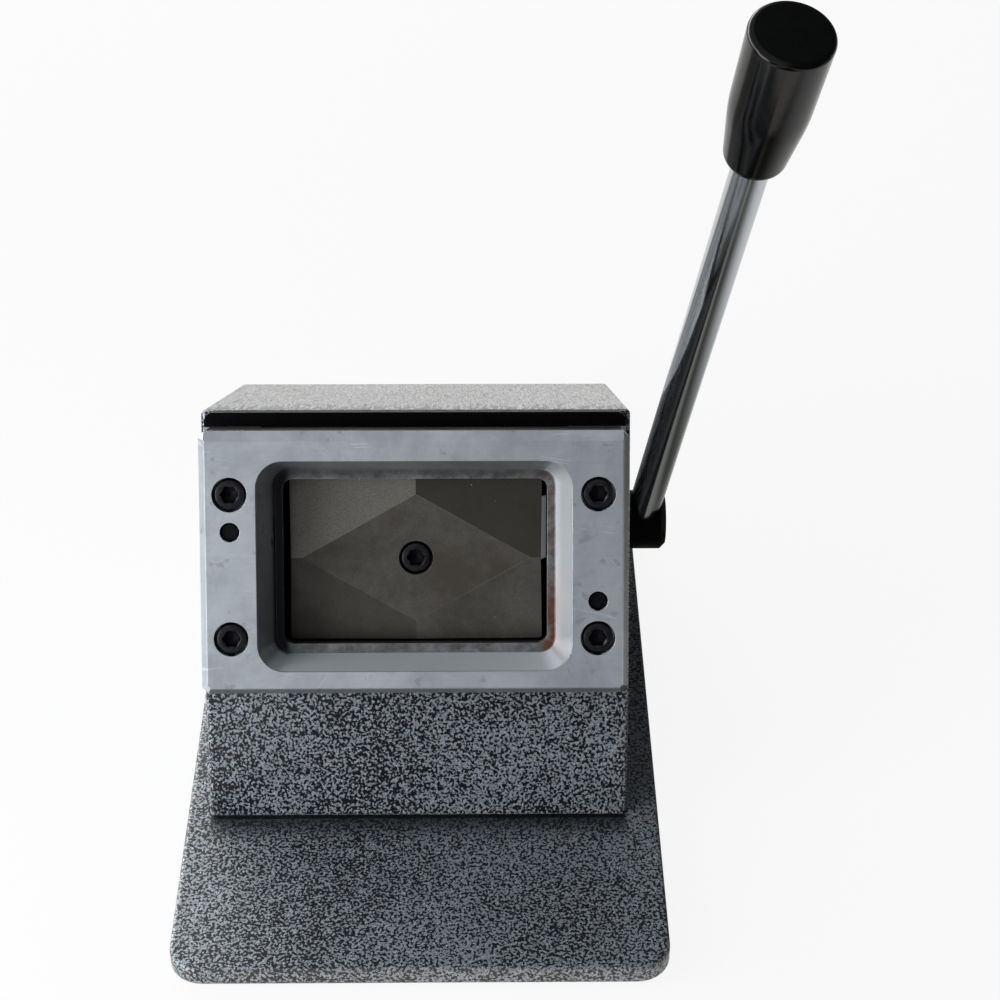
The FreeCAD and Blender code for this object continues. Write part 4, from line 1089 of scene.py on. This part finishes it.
# -------------------------------------------------------------------------------------- screws
@dataclass(frozen=True)
class SocketScrew:
    """Screw with a hexagon socket: chamfered mouth, drilled bottom, rounded head, knurled if it is a cap.

    The head stands on local Z = 0, or has its top there if it is countersunk.  Reach is the radius of the
    thread.  Sizes are millimetres, and shares are of the reach.
    """

    style: HeadStyle
    reach: float
    long: float
    facets: ClassVar[int] = 72
    cap_share: ClassVar[float] = 1.667
    hex_share: ClassVar[float] = 0.95
    tip_share: ClassVar[float] = 0.3
    knurl: ClassVar[float] = 0.14
    point: ClassVar[float] = 0.02
    top_shares: ClassVar[dict[HeadStyle, float]] = {
        HeadStyle.CAP: 2.0, HeadStyle.BUTTON: 1.1, HeadStyle.FLAT: 0.0}
    head_shares: ClassVar[dict[HeadStyle, tuple[tuple[float, float], ...]]] = {
        HeadStyle.BUTTON: ((1.1, 1.08), (1.3, 0.96), (1.5, 0.75), (1.68, 0.48), (1.8, 0.2), (1.8, 0.03),
                           (1.75, 0.0)),
        HeadStyle.FLAT: ((1.96, 0.0), (2.0, -0.02), (1.02, -1.0))}

    @property
    def top(self) -> float:
        """Height of the head's top."""
        return self.top_shares[self.style] * self.reach

    def socket_rings(self) -> Iterator[tuple[Ring, float, float]]:
        """Rings from the drilled point at the socket's bottom out to its chamfered mouth.

        Yields:
            Kind of ring, radius and height of each.
        """
        corner = self.hex_share * self.reach
        inner = 0.80 * corner
        floor = self.top - self.reach
        yield Ring.ROUND, self.point, floor - 0.35 * inner
        yield Ring.ROUND, inner, floor
        yield Ring.HEXAGON, corner, floor
        yield Ring.HEXAGON, corner, self.top - 0.16 * self.reach
        yield Ring.ROUND, 1.06 * corner, self.top

    def head_rings(self) -> Iterator[tuple[Ring, float, float]]:
        """Rings from the mouth of the socket over the head and under it.

        Yields:
            Kind of ring, radius and height of each.
        """
        reach = self.reach
        if self.style is HeadStyle.CAP:
            head = self.cap_share * reach
            edge = self.tip_share * reach
            for step in range(4):
                turn = math.radians(30.0 * step)
                yield Ring.ROUND, head - edge + edge * math.sin(turn), self.top - edge + edge * math.cos(turn)
            yield Ring.KNURL, head, self.top - 1.25 * edge
            yield Ring.KNURL, head, 0.22 * reach
            yield Ring.ROUND, head - 0.08 * reach, 0.10 * reach
            yield Ring.ROUND, head - 0.14 * reach, 0.0
        else:
            for radius, height in self.head_shares[self.style]:
                yield Ring.ROUND, radius * reach, height * reach

    def shank_rings(self) -> Iterator[tuple[Ring, float, float]]:
        """Rings down the shank to its bevelled tip.

        Yields:
            Kind of ring, radius and height of each.
        """
        low = -self.reach if self.style is HeadStyle.FLAT else 0.0
        tip = self.tip_share * self.reach
        yield Ring.ROUND, self.reach, low
        yield Ring.ROUND, self.reach, tip - self.long
        yield Ring.ROUND, self.reach - tip, -self.long
        yield Ring.ROUND, self.point, -self.long

    def outline(self, kind: Ring, radius: float) -> list[tuple[float, float]]:
        """Points of one ring in plan.

        Args:
            kind: Kind of ring.
            radius: Radius of the ring, or of the hexagon's corners.

        Returns:
            The points, one for each facet.
        """
        points = []
        for index in range(self.facets):
            turn = 2.0 * math.pi * index / self.facets
            out = radius
            if kind is Ring.HEXAGON:
                out *= math.cos(math.radians(30.0)) / math.cos(turn % math.radians(60.0) - math.radians(30.0))
            elif kind is Ring.KNURL and index % 2:
                out -= self.knurl
            points.append((out * math.cos(turn), out * math.sin(turn)))
        return points

    def add_to(self, work: bmesh.types.BMesh, place: Matrix) -> None:
        """Add one screw to a mesh.

        Args:
            work: Mesh to add to.
            place: Where the screw sits.
        """
        rings = []
        for kind, radius, height in (*self.socket_rings(), *self.head_rings(), *self.shank_rings()):
            spots = [place @ (MM * Vector((x, y, height))) for x, y in self.outline(kind, radius)]
            rings.append([work.verts.new(spot) for spot in spots])
        for lower, upper in zip(rings, rings[1:]):
            for index in range(self.facets):
                after = (index + 1) % self.facets
                work.faces.new((lower[index], upper[index], upper[after], lower[after]))
        work.faces.new(rings[0])
        work.faces.new(tuple(reversed(rings[-1])))

    def pieces(self, name: str, places: Sequence[Matrix]) -> bpy.types.Object:
        """Build equal screws as one piece.

        Args:
            name: Name of the piece.
            places: Where each screw sits.

        Returns:
            The new piece.
        """
        work = bmesh.new()
        for place in places:
            self.add_to(work, place)
        return finished(name, work)


def finished(name: str, work: bmesh.types.BMesh) -> bpy.types.Object:
    """Turn a working mesh into a piece with smooth faces and sharp edges.

    Args:
        name: Name of the piece.
        work: Mesh to use, which is freed.

    Returns:
        The new piece.
    """
    bmesh.ops.recalc_face_normals(work, faces=work.faces)
    for face in work.faces:
        face.smooth = True
    for edge in work.edges:
        edge.smooth = edge.calc_face_angle(0.0) < SHARP_EDGE
    mesh = bpy.data.meshes.new(name)
    work.to_mesh(mesh)
    work.free()
    piece = bpy.data.objects.new(name, mesh)
    bpy.context.scene.collection.objects.link(piece)
    return piece


# ------------------------------------------------------------------------------ sub-assemblies
@dataclass
class SubAssembly:
    """Solids of one sub-assembly and the finish of each."""

    title: ClassVar[str] = "sub-assembly"
    body: ClassVar[Body] = Body.FRAME
    finishes: ClassVar[dict[str, Finish]] = {}

    def build(self) -> None:
        """Dress the solids, then add the sub-assembly's own pieces."""
        for node, finish in self.finishes.items():
            dress(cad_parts[node], finish)
            LOG.info("%s: dressed %s", self.title, node)
        self.add_pieces()

    def add_pieces(self) -> None:
        """Build pieces that stand for solids; a sub-assembly without any keeps this."""

    def stand_in(self, piece: bpy.types.Object, finish: Finish, node: str) -> None:
        """Let a piece take the place of a solid.

        Args:
            piece: New piece.
            finish: Its finish.
            node: Solid that it stands for.
        """
        dress(piece, finish)
        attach(piece, self.body.value)
        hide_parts(node)
        LOG.info("%s: built %s", self.title, piece.name)


def dress(piece: bpy.types.Object, finish: Finish) -> None:
    """Give every face of a piece one finish.

    Args:
        piece: Object with a mesh.
        finish: Finish to use.
    """
    piece.data.materials.clear()
    piece.data.materials.append(finish.material())


@dataclass
class Stand(SubAssembly):
    """Base plate, feet and the screws below."""

    title: ClassVar[str] = "stand"
    finishes: ClassVar[dict[str, Finish]] = {"base_plate": BaseHammertone(), "rubber_feet": Rubber()}
    foot_spots: Spots = ((-66.5, -107.0), (-66.5, 107.0), (69.5, -107.0), (69.5, 107.0))
    foot_seat: float = 0.8
    foot_screw: SocketScrew = SocketScrew(HeadStyle.FLAT, reach=2.0, long=7.0)
    head_spots: Spots = ((-52.5, -41.5), (-52.5, 98.482), (52.5, -41.5), (52.5, 98.482))
    head_seat: float = 4.3
    head_screw: SocketScrew = SocketScrew(HeadStyle.FLAT, reach=3.0, long=18.0)

    def add_pieces(self) -> None:
        """Countersunk screws of the feet and of the head, seen from below."""
        upside_down = Matrix.Rotation(math.pi, 4, "X")
        for name, spots, seat, screw, finish in (
                ("feet", self.foot_spots, self.foot_seat, self.foot_screw, ZINC),
                ("base", self.head_spots, self.head_seat, self.head_screw, BLACK_OXIDE)):
            places = [Matrix.Translation(MM * Vector((x, y, seat))) @ upside_down for x, y in spots]
            self.stand_in(screw.pieces(f"{name}_socket_screws", places), finish, f"{name}_screws")


@dataclass
class Head(SubAssembly):
    """Cast head and its rear cover."""

    title: ClassVar[str] = "head"
    finishes: ClassVar[dict[str, Finish]] = {
        "head_casting": HeadHammertone(), "rear_cover": Hammertone(),
        "shaft_bush_left": BRONZE, "shaft_bush_right": BRONZE}
    cover_spots: Spots = ((-45.0, 17.5), (-45.0, 57.5), (45.0, 17.5), (45.0, 57.5))
    cover_face: float = 118.482
    cover_screw: SocketScrew = SocketScrew(HeadStyle.BUTTON, reach=2.0, long=9.0)

    def add_pieces(self) -> None:
        """Button screws of the rear cover."""
        turned = Matrix.Rotation(-math.pi / 2, 4, "X")
        places = [Matrix.Translation(MM * Vector((x, self.cover_face, z))) @ turned
                  for x, z in self.cover_spots]
        screws = self.cover_screw.pieces("rear_cover_socket_screws", places)
        self.stand_in(screws, BLACK_OXIDE, "rear_cover_screws")


@dataclass
class Die(SubAssembly):
    """Die plate, feed slot and guide plate."""

    title: ClassVar[str] = "die"
    finishes: ClassVar[dict[str, Finish]] = {
        "die_plate": DieSteel(), "dowel_pins": SUNK_SHADED_PIN,
        "slot_spacer_left": GROUND, "slot_spacer_right": GROUND, "sheet_stop": GROUND,
        "guide_plate": BLACKENED, "ram_rail_left": GROUND, "ram_rail_right": GROUND,
        "ram_rail_screws": BLACK_OXIDE}
    screw_across: float = 58.75
    screw_up: float = 23.25
    bore_depth: float = 6.5
    screw: SocketScrew = SocketScrew(HeadStyle.CAP, reach=3.0, long=31.0)

    def add_pieces(self) -> None:
        """Knurled cap screws in the plate's four counterbores."""
        places = [DieFrame.place(x * self.screw_across, y * self.screw_up, -self.bore_depth)
                  for x in (-1, 1) for y in (-1, 1)]
        screws = self.screw.pieces("die_plate_socket_screws", places)
        self.stand_in(screws, BLACK_OXIDE, "die_plate_screws")


@dataclass
class Ram(SubAssembly):
    """Punch and the slide behind it."""

    title: ClassVar[str] = "ram"
    body: ClassVar[Body] = Body.RAM
    finishes: ClassVar[dict[str, Finish]] = {"punch": PunchSteel(), "ram_slide": GROUND}
    seat: float = 27.0
    screw: SocketScrew = SocketScrew(HeadStyle.CAP, reach=3.0, long=38.0)

    def add_pieces(self) -> None:
        """Knurled cap screw in the middle of the punch."""
        screw = self.screw.pieces("punch_socket_screw", [DieFrame.place(0.0, 0.0, -self.seat)])
        self.stand_in(screw, BLACK_OXIDE, "punch_screw")


@dataclass
class Lever(SubAssembly):
    """Shaft, cam, hub, rod and knob."""

    title: ClassVar[str] = "lever"
    body: ClassVar[Body] = Body.LEVER
    finishes: ClassVar[dict[str, Finish]] = {
        "cam_shaft": GROUND, "eccentric_cam": GROUND_FORWARD, "cam_key": GROUND, "shaft_collar": BLACKENED,
        "collar_screw": BLACK_OXIDE, "lever_hub": BLACKENED, "hub_screw": BLACK_OXIDE,
        "lever_rod": Chrome(), "lever_knob": Plastic()}


def main() -> None:
    """Build the sub-assemblies and the studio in order."""
    logging.basicConfig(level=logging.INFO, format="%(message)s")
    for part in (Stand(), Head(), Die(), Ram(), Lever()):
        part.build()
    Studio().build()
    bpy.context.scene.view_settings.view_transform = "Standard"


if __name__ == "__main__":
    main()
